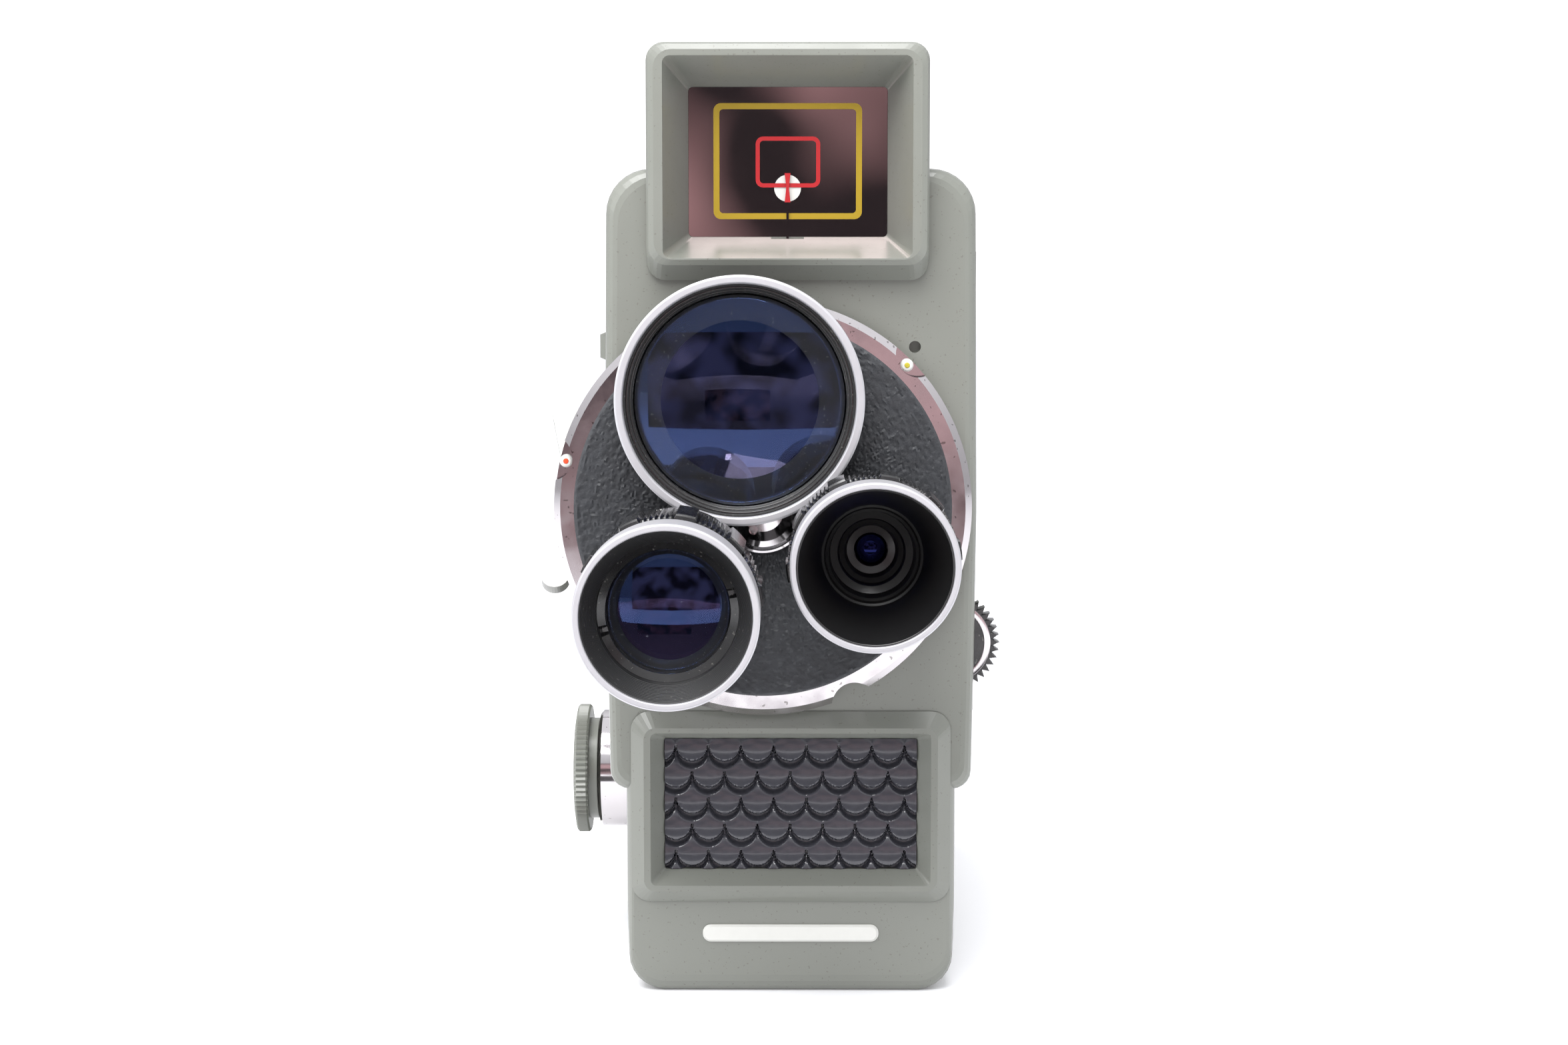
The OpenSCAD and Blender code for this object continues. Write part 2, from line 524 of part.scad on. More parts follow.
module normal_lens_hood() color([0.04, 0.04, 0.04]) lens_turned(2, [[2.2, 3.6], [8.35, 3.6],
    [8.35, 9.55], [9.25, 9.55], [9.25, 24.15], [9.75, 24.15], [9.75, 26.4], [9.5, 26.4],
    [6.6, 12.6], [6.2, 12.4], [5.6, 11.6], [5.4, 9], [4.4, 8.6], [3.4, 5.4], [2.2, 5.2]]);
module normal_lens_glass() color([0.15, 0.2, 0.5]) lens_turned(2, [[0, 3.6], [2.15, 3.6],
    [2.15, 4.6], [1.2, 5], [0, 5.1]]);
// ---------- film ----------
module gate_plate() color([0.75, 0.75, 0.75]) difference() {
    box([film_x - 8.6, nose_back, axis_z - 13.8], [film_x + 8.6, film_y, axis_z + 13.8]);
    box([axis_x - 2.3, nose_back - 1, axis_z - 1.7], [axis_x + 2.3, film_y + 1, axis_z + 1.7]);
    // claw slot and the shutter's rear bearing
    box([axis_x + 3.1, nose_back - 1, axis_z - 8.5], [axis_x + 4.5, film_y + 1, axis_z - 1]);
    ycyl(shutter_x, shutter_z, nose_back - 1, film_y - 0.4, 0.85);
}
module pressure_plate() color([0.75, 0.75, 0.75]) {
    box([film_x - 8, film_y + 0.2, axis_z - 12], [film_x + 8, film_y + 1.4, axis_z + 12]);
    // leaf spring and its pad on the film door's side
    for (k = [-1, 1])
        box([film_x - 6, film_y + 1.3, axis_z + k * 7 - 1.5],
            [film_x + 6, film_y + 3, axis_z + k * 7 + 1.5]);
    box([web_x1, film_y + 2.6, axis_z - 4], [film_x + 6, film_y + 3.4, axis_z + 4]);
}
module film_claw() color([0.75, 0.75, 0.75]) {
    box([axis_x + 3.4, nose_back - 0.6, axis_z - 5.4], [axis_x + 4.2, film_y + 0.15, axis_z - 4.6]);
    box([axis_x + 3.4, nose_back - 0.6, axis_z - 12], [axis_x + 4.2, nose_back - 0.2, axis_z - 4.6]);
}
module spool(z, web_r) {
    difference() {
        union() {
            xcyl(spool_y, z, spool_x0, spool_x0 + 0.7, spool_r);
            xcyl(spool_y, z, spool_x1 - 0.7, spool_x1, spool_r);
            xcyl(spool_y, z, spool_x0, spool_x1, web_r);
        }
        // keyed bore at the web's side, and finger holes in both flanges
        xcyl(spool_y, z, spool_x0 + 8, spool_x1 + 1, 4.2);
        for (a = [30:120:270]) for (x = [spool_x0 - 1, spool_x1 - 1])
            xcyl(spool_y + 19.5 * cos(a), z + 19.5 * sin(a), x, x + 2, 3.2);
    }
    xcyl(spool_y, z, spool_x0 - 4, spool_x0 + 1, 1.45);
}
module supply_spool() color([0.30, 0.31, 0.32]) spool(supply_z, 16);
module takeup_spool() color([0.30, 0.31, 0.32]) spool(takeup_z, 9);

// ---------- mechanism ----------
module shutter() color([0.20, 0.20, 0.20]) {
    ycyl(shutter_x, shutter_z, yf + 0.8, film_y - 0.6, 0.8);
    slab_y(yf + 2.8, yf + 4.4) translate([shutter_x, shutter_z])
        rotate(transfer_dir + 180 / shutter_teeth) gear2d(shutter_teeth);
    difference() {
        ycyl(shutter_x, shutter_z, yf + 4.6, yf + 5, 8.8);
        // open sector that uncovers the gate
        slab_y(yf + 4.45, yf + 5.6) translate([shutter_x, shutter_z]) rotate(-40)
            difference() {
                polygon([[0, 0], for (a = [0:10:160]) 12 * [cos(a), sin(a)]]);
                circle(2.5);
            }
    }
}
module transfer_gear() color([0.72, 0.60, 0.30]) {
    ycyl(transfer_x, transfer_z, yf + 0.8, -20, 1.2);
    slab_y(yf + 2.9, yf + 4.3) difference() {
        translate([transfer_x, transfer_z]) rotate(transfer_dir + 180) gear2d(transfer_teeth);
        for (a = [0:72:359])
            translate([transfer_x + 7 * cos(a), transfer_z + 7 * sin(a)]) circle(2.4);
    }
    // bevel pinion that is driven by the train
    turned_y(transfer_x, transfer_z, -20, [[0, 0], [1.4, 0], [1.95, 1.8], [0, 1.8]]);
}
barrel_x0 = -17.5;
barrel_x1 = -8.6;
module mainspring_barrel() color([0.72, 0.60, 0.30]) difference() {
    union() {
        xcyl(key_y, key_z, barrel_x0, barrel_x1, 20.4);
        slab_x(barrel_x1, barrel_x1 + 2) translate([key_y, key_z]) rotate(train_dir)
            gear2d(barrel_teeth);
    }
    xcyl(key_y, key_z, barrel_x0 + 0.8, barrel_x1 - 0.2, 19.4);
    xcyl(key_y, key_z, barrel_x0 - 1, barrel_x1 + 3, 2.05);
}
// spiral ribbon from the arbor out to the barrel's wall
spring_turns = 9;
function spiral(r0, r1, t) = let (n = spring_turns * 24) concat(
    [for (i = [0:n]) (r0 + (r1 - r0) * i / n) * [cos(15 * i), sin(15 * i)]],
    [for (i = [n:-1:0]) (r0 + t + (r1 - r0) * i / n) * [cos(15 * i), sin(15 * i)]]);
module mainspring() color([0.25, 0.27, 0.32]) slab_x(barrel_x0 + 1.2, barrel_x1 - 0.6)
    translate([key_y, key_z]) polygon(spiral(5, 18.6, 0.5));
module winding_arbor() color([0.78, 0.78, 0.78]) difference() {
    union() {
        xcyl(key_y, key_z, -wide_w / 2 - 1, web_x0 + 0.7, 2);
        xcyl(key_y, key_z, -wide_w / 2 - 0.5, -cheek_x + 2, 3);
        // ratchet wheel
        slab_x(barrel_x0 - 1.4, barrel_x0 - 0.3) translate([key_y, key_z])
            polygon([for (i = [0:19], j = [0:1]) (j == 0 ? 7.5 : 6.3) * [cos(18 * i), sin(18 * i)]]);
        // key hub with its slot
        xcyl(key_y, key_z, key_pivot_x - 1.5, -wide_w / 2 - 0.6, key_hub_r);
    }
    // slot between the hub's two ears, for the key's tongue, and the pivot's hole
    translate([key_pivot_x, key_y, key_z]) rotate([-key_angle, 0, 0]) {
        box([-2, -key_hub_r - 1, -2], [1.4, key_hub_r + 1, 2]);
        translate([0, 0, -key_hub_r - 1]) cylinder(h = 2 * key_hub_r + 2, r = 0.55);
    }
}
key_pivot_x = -wide_w / 2 - 2.7;
key_hub_r = 3.6;
// flat key with two wings, drawn round its pivot
module key_outline() {
    for (k = [-1, 1]) hull() {
        translate([-8, 15.8 * k]) circle(2.1, $fn = 32);
        translate([-5.4, 2 * k]) circle(1.9, $fn = 32);
    }
    translate([-7.3, -2]) square([4, 4]);
    translate([-5, -1.75]) square([5, 3.5]);
    intersection() {
        circle(1.75);
        translate([-3, -1.1]) square([4, 2.2]);
    }
}
module winding_key() color([0.72, 0.73, 0.68])
    translate([key_pivot_x, key_y, key_z]) rotate([-key_angle, 0, 0]) {
        translate([0, 0.85, 0]) rotate([90, 0, 0]) linear_extrude(1.7) key_outline();
        translate([0, 0, -3.4]) cylinder(h = 6.8, r = 0.5);
    }
module train_wheel() color([0.72, 0.60, 0.30]) {
    xcyl(train_y, train_z, -20.2, web_x0 + 0.7, 0.8);
    slab_x(barrel_x1 - 0.1, barrel_x1 + 2.1) translate([train_y, train_z])
        rotate(train_dir + 180 + 180 / train_pinion_teeth) gear2d(train_pinion_teeth, gear_m, 0.4);
    slab_x(-19.6, -18.4) difference() {
        translate([train_y, train_z]) rotate(governor_dir) gear2d(train_teeth);
        for (a = [0:90:359])
            translate([train_y + 7.2 * cos(a), train_z + 7.2 * sin(a)]) circle(2.6);
    }
}
module governor() color([0.70, 0.58, 0.35]) {
    xcyl(governor_y, governor_z, -20.2, web_x0 + 0.7, 0.8);
    slab_x(-19.7, -18.2) translate([governor_y, governor_z])
        rotate(governor_dir + 180 + 180 / governor_teeth) gear2d(governor_teeth, gear_m, 0.4);
    // friction disc and the two fly weights
    xcyl(governor_y, governor_z, -16.5, -15.5, 5.4);
    for (k = [-1, 1]) {
        box([-15.6, governor_y - 1.2, governor_z + k * 3.6 - 0.9],
            [-9.6, governor_y + 1.2, governor_z + k * 3.6 + 0.9]);
        box([-10.4, governor_y - 0.8, governor_z + min(0, k * 3.6)],
            [-9.6, governor_y + 0.8, governor_z + max(0, k * 3.6)]);
    }
}
// ---------- side controls ----------
module speed_wheel() color([0.10, 0.10, 0.10]) {
    slab_y(yf + 2.7, yf + 5.4) translate([wheel_x, wheel_z])
        polygon([for (i = [0:39], j = [0:1])
            (wheel_r - 0.75 * j) * [cos(9 * i + 4.5 * j), sin(9 * i + 4.5 * j)]]);
    ycyl(wheel_x, wheel_z, yf + 1, yf + 3, 1.2);
}
module film_speed_dial() color([0.62, 0.63, 0.59]) {
    turned_x(-31.6, dial_y, dial_z, [[0, 0], [8.8, 0], [9.4, 0.5], [9.4, 1.5], [8.9, 2], [7.4, 2],
        [7.4, 3.4], [0, 3.4]]);
    xcyl(dial_y, dial_z, -29, -cheek_x + 2.6, 2);
}
module dial_base() color([0.78, 0.72, 0.72]) difference() {
    turned_x(-28, dial_y, dial_z, [[0, 0], [8.2, 0], [8.6, 0.4], [8.6, 5.6], [0, 5.6]]);
    box([-wide_w / 2 - 0.3, dial_y - 12, cover_z0 - 0.3], [0, dial_y + 12, 60]);
    xcyl(dial_y, dial_z, -30, 0, 2.05);
}
module release_slide() color([0.72, 0.73, 0.69]) {
    hull() {
        box([-wide_w / 2 - 1.4, release_y - 1.6, release_z - 1.6],
            [-wide_w / 2 - 1.2, release_y + 1.6, release_z + 1.6]);
        box([-wide_w / 2 - 0.4, release_y - 2, release_z - 2],
            [-wide_w / 2 - 0.3, release_y + 2, release_z + 2]);
    }
    box([-wide_w / 2 - 0.4, release_y - 0.9, release_z - 1],
        [-cheek_x + 2, release_y + 0.9, release_z + 1]);
}
module footage_dial() color([0.92, 0.92, 0.88]) {
    xcyl(counter_y, counter_z, -cheek_x + 1.9, -cheek_x + 2.7, 7.5);
    xcyl(counter_y, counter_z, -cheek_x + 2, -cheek_x + 6, 1);
}
body_casting();
front_housing();
winding_cover();
cover_screws();
film_door();
door_hinge_pin();
door_latch();
tripod_bush();
release_bush();
finder_housing();
finder_front_glass();
frame_line_outer();
frame_line_inner();
meter_disc();
meter_arm();
meter_needle();
galvanometer();
eyepiece_ring();
eyepiece_glass();
cell_frame();
cell_window();
selenium_cell();
name_bar();
turret_disc();
turret_leather();
turret_hub();
turret_hub_screw();
turret_dots();
wide_lens_barrel();
wide_lens_focus_ring();
wide_lens_bezel();
wide_lens_glass();
tele_lens_barrel();
tele_lens_focus_ring();
tele_lens_bezel();
tele_lens_cone();
tele_lens_glass();
normal_lens_barrel();
normal_lens_focus_ring();
normal_lens_bezel();
normal_lens_hood();
normal_lens_glass();
gate_plate();
pressure_plate();
film_claw();
shutter();
transfer_gear();
mainspring_barrel();
mainspring();
winding_arbor();
winding_key();
train_wheel();
governor();
supply_spool();
takeup_spool();
speed_wheel();
film_speed_dial();
dial_base();
release_slide();
footage_dial();
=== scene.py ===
"""Looks for the spring-wound 8 mm cine camera: finishes, fine detail, light and view.

Lengths are in metres in Blender; MM turns the millimetres used here into metres.
"""

import math

import bmesh
import bpy
from mathutils import Matrix, Vector, noise

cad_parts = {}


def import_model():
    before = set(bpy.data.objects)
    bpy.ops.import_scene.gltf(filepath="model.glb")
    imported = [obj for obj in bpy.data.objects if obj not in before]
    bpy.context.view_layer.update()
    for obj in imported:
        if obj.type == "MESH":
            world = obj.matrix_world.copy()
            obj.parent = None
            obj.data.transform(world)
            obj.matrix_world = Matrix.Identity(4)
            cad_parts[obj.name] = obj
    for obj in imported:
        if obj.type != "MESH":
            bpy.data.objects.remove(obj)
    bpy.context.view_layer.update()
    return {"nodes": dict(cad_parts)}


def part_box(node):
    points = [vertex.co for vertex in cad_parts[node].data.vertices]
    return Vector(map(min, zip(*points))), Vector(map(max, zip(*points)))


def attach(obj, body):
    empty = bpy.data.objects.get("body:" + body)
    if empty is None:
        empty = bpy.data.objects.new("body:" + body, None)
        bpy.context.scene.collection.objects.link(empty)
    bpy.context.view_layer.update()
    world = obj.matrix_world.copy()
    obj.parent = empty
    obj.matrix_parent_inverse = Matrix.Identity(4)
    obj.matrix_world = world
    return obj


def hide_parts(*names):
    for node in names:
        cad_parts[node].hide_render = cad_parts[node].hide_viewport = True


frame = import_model()
nodes = frame["nodes"]
MM = 0.001
BOX_FACES = ((0, 1, 3, 2), (4, 6, 7, 5), (0, 4, 5, 1), (2, 3, 7, 6), (0, 2, 6, 4), (1, 5, 7, 3))


def low(node):
    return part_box(node)[0] / MM


def high(node):
    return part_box(node)[1] / MM


def middle(node):
    return (low(node) + high(node)) / 2


# ---------------------------------------------------------------- materials
def rgb(red, green, blue):
    """Screen colour, 0 to 255, as the linear colour that a shader takes."""
    def linear(v):
        v /= 255
        return v / 12.92 if v <= 0.04045 else ((v + 0.055) / 1.055) ** 2.4
    return linear(red), linear(green), linear(blue), 1


class Finish:
    """A Principled material and short calls that add nodes to it."""

    def __init__(self, name, colour, roughness, metallic=0.0, **sockets):
        self.material = bpy.data.materials.new(name)
        self.material.use_nodes = True
        self.tree = self.material.node_tree
        self.shader = self.tree.nodes["Principled BSDF"]
        self.colour = colour
        self.roughness = roughness
        self.set("Base Color", colour)
        self.set("Roughness", roughness)
        self.set("Metallic", metallic)
        for socket, value in sockets.items():
            self.set(socket.replace("_", " "), value)
        self.place = self.node("ShaderNodeTexCoord").outputs["Object"]
        self.bumps = None

    def set(self, socket, value):
        self.shader.inputs[socket].default_value = value

    def node(self, kind, **values):
        made = self.tree.nodes.new(kind)
        for key, value in values.items():
            setattr(made, key, value)
        return made

    def link(self, out, into):
        self.tree.links.new(out, into)

    def math(self, operation, a, b=None):
        made = self.node("ShaderNodeMath", operation=operation)
        for socket, value in zip(made.inputs, (a, b)):
            if isinstance(value, (int, float)):
                socket.default_value = value
            elif value is not None:
                self.link(value, socket)
        return made.outputs[0]

    def noise(self, scale, detail=3.0, place=None):
        made = self.node("ShaderNodeTexNoise")
        made.inputs["Scale"].default_value = scale
        made.inputs["Detail"].default_value = detail
        self.link(place or self.place, made.inputs["Vector"])
        return made.outputs["Fac"]

    def ramp(self, value, low_in, high_in, low_out, high_out):
        made = self.node("ShaderNodeMapRange")
        for socket, number in zip(("From Min", "From Max", "To Min", "To Max"),
                                  (low_in, high_in, low_out, high_out)):
            made.inputs[socket].default_value = number
        self.link(value, made.inputs["Value"])
        return made.outputs["Result"]

    def tint(self, fac, colour):
        """Mixes the base colour towards a second colour by fac."""
        made = self.node("ShaderNodeMix", data_type="RGBA")
        before = self.shader.inputs["Base Color"]
        if before.is_linked:
            self.link(before.links[0].from_socket, made.inputs["A"])
        else:
            made.inputs["A"].default_value = self.colour
        made.inputs["B"].default_value = colour
        self.link(fac, made.inputs["Factor"])
        self.link(made.outputs["Result"], before)
        return self

    def mottle(self, scale, amount, dark=0.6):
        """Slow cloudy change of tone."""
        deeper = [c * dark for c in self.colour[:3]] + [1]
        return self.tint(self.ramp(self.noise(scale, 4), 0.35, 0.7, 0, amount), deeper)

    def specks(self, scale, edge, colour, amount=1.0):
        """Sparse small marks where fine noise is above edge."""
        return self.tint(self.ramp(self.noise(scale, 1), edge, edge + 0.02, 0, amount), colour)

    def smudge(self, scale, spread):
        """Uneven gloss."""
        value = self.ramp(self.noise(scale, 5), 0.3, 0.7, self.roughness - spread,
                          self.roughness + spread)
        self.link(value, self.shader.inputs["Roughness"])
        return self

    def bump(self, value, strength, distance):
        made = self.node("ShaderNodeBump")
        made.inputs["Strength"].default_value = strength
        made.inputs["Distance"].default_value = distance
        self.link(value, made.inputs["Height"])
        if self.bumps:
            self.link(self.bumps, made.inputs["Normal"])
        self.bumps = made.outputs["Normal"]
        self.link(self.bumps, self.shader.inputs["Normal"])
        return self

    def grain(self, scale, strength, distance=0.02 * MM):
        return self.bump(self.noise(scale, 2), strength, distance)

    def turning(self, centre, pitch, strength):
        """Fine lathe lines round a Y axis through centre, given in millimetres."""
        shift = self.node("ShaderNodeVectorMath", operation="SUBTRACT")
        self.link(self.place, shift.inputs[0])
        shift.inputs[1].default_value = Vector(centre) * MM
        split = self.node("ShaderNodeSeparateXYZ")
        self.link(shift.outputs[0], split.inputs[0])
        a, b = (split.outputs[c] for c in "XZ")
        radius = self.math("SQRT", self.math("ADD", self.math("MULTIPLY", a, a),
                                             self.math("MULTIPLY", b, b)))
        join = self.node("ShaderNodeCombineXYZ")
        self.link(radius, join.inputs[0])
        lines = self.noise(1 / (pitch * MM), 2, join.outputs[0])
        self.link(self.ramp(lines, 0.3, 0.7, self.roughness - 0.06, self.roughness + 0.1),
                  self.shader.inputs["Roughness"])
        return self.bump(lines, strength, 0.01 * MM)


def paint(name, colour):
    return (Finish(name, colour, 0.36, Coat_Weight=0.25, Coat_Roughness=0.2)
            .mottle(45, 0.10).specks(2600, 0.71, rgb(88, 84, 76), 0.5)
            .smudge(160, 0.07).grain(1500, 0.10).grain(260, 0.08, 0.05 * MM))


paint_grey = paint("paint_grey", rgb(118, 120, 113))
chrome = (Finish("chrome", rgb(200, 196, 198), 0.10, 1.0)
          .mottle(110, 0.18).specks(1500, 0.72, rgb(90, 84, 80), 0.6).smudge(300, 0.05))
steel = Finish("steel", rgb(176, 174, 170), 0.28, 1.0).mottle(300, 0.25).smudge(700, 0.08)
key_satin = Finish("key_satin", rgb(150, 150, 147), 0.4, 0.75).mottle(300, 0.2).smudge(700, 0.08)
brass = Finish("brass", rgb(201, 170, 105), 0.27, 1.0).mottle(200, 0.3).smudge(500, 0.08)
lens_black = (Finish("lens_black", rgb(17, 17, 18), 0.24, Coat_Weight=0.6, Coat_Roughness=0.12)
              .specks(2200, 0.70, rgb(120, 118, 112), 0.35).smudge(400, 0.08).grain(2500, 0.08))
flat_black = (Finish("flat_black", rgb(20, 20, 21), 0.55)
              .specks(2400, 0.70, rgb(110, 108, 104), 0.3).grain(3000, 0.2))
leather = (Finish("leather", rgb(46, 48, 52), 0.52, Sheen_Weight=0.15, Sheen_Roughness=0.5)
           .mottle(700, 0.5, 0.45).smudge(900, 0.1)
           .grain(5200, 0.35, 0.05 * MM).grain(2300, 0.6, 0.12 * MM))
yellow_line = Finish("yellow_line", rgb(160, 132, 8), 0.4).grain(3000, 0.1)
red_line = Finish("red_line", rgb(172, 16, 24), 0.4).grain(3000, 0.1)
red_dot = Finish("red_dot", rgb(206, 70, 30), 0.4).grain(3000, 0.1)
yellow_dot = Finish("yellow_dot", rgb(172, 160, 40), 0.4).grain(3000, 0.1)
white_paint = (Finish("white_paint", rgb(206, 206, 201), 0.42)
               .mottle(900, 0.1, 0.8).grain(2600, 0.1))
mark_white = Finish("mark_white", rgb(214, 214, 210), 0.5).grain(4000, 0.1)
window_plastic = (Finish("window_plastic", rgb(60, 60, 66), 0.2, Coat_Weight=0.5,
                         Coat_Roughness=0.05).mottle(900, 0.3).grain(2400, 0.1))
cell_dark = Finish("cell_dark", rgb(58, 54, 62), 0.3, 0.4).mottle(800, 0.4)
spool_grey = Finish("spool_grey", rgb(88, 90, 92), 0.42).mottle(200, 0.2).grain(1800, 0.1)
finder_dark = Finish("finder_dark", rgb(165, 148, 148), 0.04, 1.0).smudge(90, 0.015)
clear_glass = Finish("clear_glass", rgb(250, 252, 255), 0.02, Transmission_Weight=1.0, IOR=1.5)
front_glass = (Finish("front_glass", rgb(246, 248, 255), 0.01, Transmission_Weight=1.0, IOR=1.5,
                      Specular_IOR_Level=0.22, Specular_Tint=(0.22, 0.36, 0.95, 1))
               .specks(1400, 0.78, rgb(190, 190, 196), 0.4))
cone_black = Finish("cone_black", rgb(16, 16, 17), 0.4, Coat_Weight=0.9, Coat_Roughness=0.22)
black_ink = Finish("black_ink", rgb(22, 22, 22), 0.45).grain(4000, 0.1)


def coating(name, colour):
    """A coated lens surface: a dark mirror in the coating's colour."""
    return Finish(name, colour, 0.03, 1.0).specks(1500, 0.78, rgb(120, 120, 130), 0.5)


coat_grey = coating("coat_grey", rgb(34, 32, 42))
coat_violet = coating("coat_violet", rgb(34, 26, 40))
coat_deep = coating("coat_deep", rgb(20, 24, 60))


def turned_silver(name, node):
    """Satin front ring with lathe lines round its own lens."""
    return (Finish(name, rgb(190, 189, 193), 0.4, 0.5)
            .mottle(250, 0.12).turning(middle(node), 0.12, 0.3))


# ---------------------------------------------------------------- mesh tools
def put(name, vertices, faces, finish, body, stands_for=(), smooth=True):
    """Makes a piece from points in millimetres and rides it on a body."""
    mesh = bpy.data.meshes.new(name)
    mesh.from_pydata([Vector(v) * MM for v in vertices], [], faces)
    mesh.validate()
    if smooth:
        mesh.shade_smooth()
        mesh.set_sharp_from_angle(angle=math.radians(32))
    mesh.materials.append(finish.material)
    piece = bpy.data.objects.new(name, mesh)
    bpy.context.scene.collection.objects.link(piece)
    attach(piece, body)
    if stands_for:
        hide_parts(*stands_for)
    return piece


def softened(profile, radius, closed=True):
    """Rounds the corners of a profile of (radius, height) points."""
    out = []
    count = len(profile)
    for i, here in enumerate(profile):
        here = Vector(here)
        if not closed and i in (0, count - 1) or here.x == 0:
            out.append(here)
            continue
        before = Vector(profile[i - 1]) - here
        after = Vector(profile[(i + 1) % count]) - here
        if before.length == 0 or after.length == 0 or before.angle(after) > math.radians(165):
            out.append(here)
            continue
        reach = min(radius, before.length * 0.45, after.length * 0.45)
        start = here + before.normalized() * reach
        end = here + after.normalized() * reach
        for t in (0, 0.25, 0.5, 0.75, 1):
            out.append(start * (1 - t) ** 2 + here * 2 * t * (1 - t) + end * t ** 2)
    return out


def frame_for(axis):
    """Unit vectors across and along a lathe axis: heights run along the last one."""
    return {"-Y": (Vector((1, 0, 0)), Vector((0, 0, 1)), Vector((0, -1, 0))),
            "-X": (Vector((0, -1, 0)), Vector((0, 0, 1)), Vector((-1, 0, 0))),
            "+X": (Vector((0, 1, 0)), Vector((0, 0, 1)), Vector((1, 0, 0)))}[axis]


def spoke(axis, degrees):
    """Unit vector at an angle round a lathe axis."""
    across, up, _ = frame_for(axis)
    turn = math.radians(degrees)
    return across * math.cos(turn) + up * math.sin(turn)


def ring_faces(total, count):
    """Faces of a closed ring of sections, each with count points."""
    faces = []
    for i in range(total):
        a, b = i * count, (i + 1) % total * count
        faces += [(a + k, b + k, b + (k + 1) % count, a + (k + 1) % count) for k in range(count)]
    return faces


def lathe(name, base, axis, profile, finish, body, stands_for=(), steps=160, soft=0.12,
          closed=True):
    """Turned piece: profile of (radius, height) in millimetres, height counted from base."""
    across, up, along = frame_for(axis)
    base = Vector(base)
    points = softened(profile, soft, closed)
    vertices, faces = [], []
    for i in range(steps):
        turn = 2 * math.pi * i / steps
        out = across * math.cos(turn) + up * math.sin(turn)
        vertices += [base + out * p[0] + along * p[1] for p in points]
    count = len(points)
    rows = count if closed else count - 1
    for i in range(steps):
        a, b = i * count, (i + 1) % steps * count
        for k in range(rows):
            n = (k + 1) % count
            if points[k][0] == 0 and points[n][0] == 0:
                continue
            if points[k][0] == 0:
                faces.append((a + k, b + n, a + n))
            elif points[n][0] == 0:
                faces.append((a + k, b + k, a + n))
            else:
                faces.append((a + k, b + k, b + n, a + n))
    piece = put(name, vertices, faces, finish, body, stands_for)
    weld_axis(piece)
    return piece


def weld_axis(piece):
    """Joins the points that fall together on the axis."""
    mesh = bmesh.new()
    mesh.from_mesh(piece.data)
    bmesh.ops.remove_doubles(mesh, verts=mesh.verts, dist=1e-7)
    bmesh.ops.recalc_face_normals(mesh, faces=mesh.faces)
    mesh.to_mesh(piece.data)
    mesh.free()


def lug_radii(low_r, high_r, lugs, teeth, tooth):
    """(angle, radius) round a focusing ring: smooth raised lugs, fine teeth between them."""
    out = []
    period = 360 / lugs
    share = 0.42 * period
    flank = 1.6
    for i in range(lugs):
        start = i * period
        out += [(start, low_r), (start + flank, high_r)]
        inner = share - 2 * flank
        out += [(start + flank + inner * k / 6, high_r) for k in range(1, 6)]
        out += [(start + share - flank, high_r), (start + share, low_r)]
        step = (period - share) / teeth
        for k in range(teeth):
            out += [(start + share + step * (k + 0.35), low_r + tooth),
                    (start + share + step * (k + 0.65), low_r + tooth),
                    (start + share + step * (k + 1), low_r)]
        out.pop()
    return out


def focus_ring(name, base, h0, h1, bore, radii, finish, body, node):
    """Knurled ring about -Y, from height h0 to h1 in front of base."""
    along = frame_for("-Y")[2]
    base = Vector(base)
    edge = 0.22
    vertices = []
    for angle, radius in radii:
        out = spoke("-Y", angle)
        shape = [(bore, h0), (radius - edge, h0), (radius, h0 + edge), (radius, h1 - edge),
                 (radius - edge, h1), (bore, h1)]
        vertices += [base + out * r + along * h for r, h in shape]
    faces = ring_faces(len(radii), 6)
    return put(name, vertices, faces, finish, body, (node,))


def sheet(name, us, vs, point, finish, body, stands_for=()):
    """Surface over a grid: point(u, v) gives each place in millimetres."""
    vertices = [point(u, v) for u in us for v in vs]
    n = len(vs)
    faces = [(i * n + j, i * n + j + 1, (i + 1) * n + j + 1, (i + 1) * n + j)
             for i in range(len(us) - 1) for j in range(n - 1)]
    return put(name, vertices, faces, finish, body, stands_for)


def block(name, lo, hi, finish, body, edge=0.1):
    lo, hi = Vector(lo), Vector(hi)
    vertices = [(x, y, z) for x in (lo.x, hi.x) for y in (lo.y, hi.y) for z in (lo.z, hi.z)]
    piece = put(name, vertices, BOX_FACES, finish, body, smooth=False)
    round_edges(piece, edge)
    return piece


def round_edges(piece, width, segments=2, angle=40):
    bevel = piece.modifiers.new("edges", "BEVEL")
    bevel.width = width * MM
    bevel.segments = segments
    bevel.limit_method = "ANGLE"
    bevel.angle_limit = math.radians(angle)
    bevel.harden_normals = True
    return bevel


def dress(node, finish, edge=0.0, segments=3, angle=35):
    """Finish for a CAD node, with its sharp edges rounded."""
    piece = nodes[node]
    piece.data.materials.clear()
    piece.data.materials.append(finish.material)
    if edge:
        weld = piece.modifiers.new("weld", "WELD")
        weld.merge_threshold = 1e-6
        round_edges(piece, edge, segments, angle)


def spread(start, stop, step):
    """Evenly spaced numbers from start to stop, about a step apart."""
    count = max(2, round((stop - start) / step) + 1)
    return [start + (stop - start) * i / (count - 1) for i in range(count)]


def smoothstep(a, b, v):
    t = min(1, max(0, (v - a) / (b - a)))
    return t * t * (3 - 2 * t)


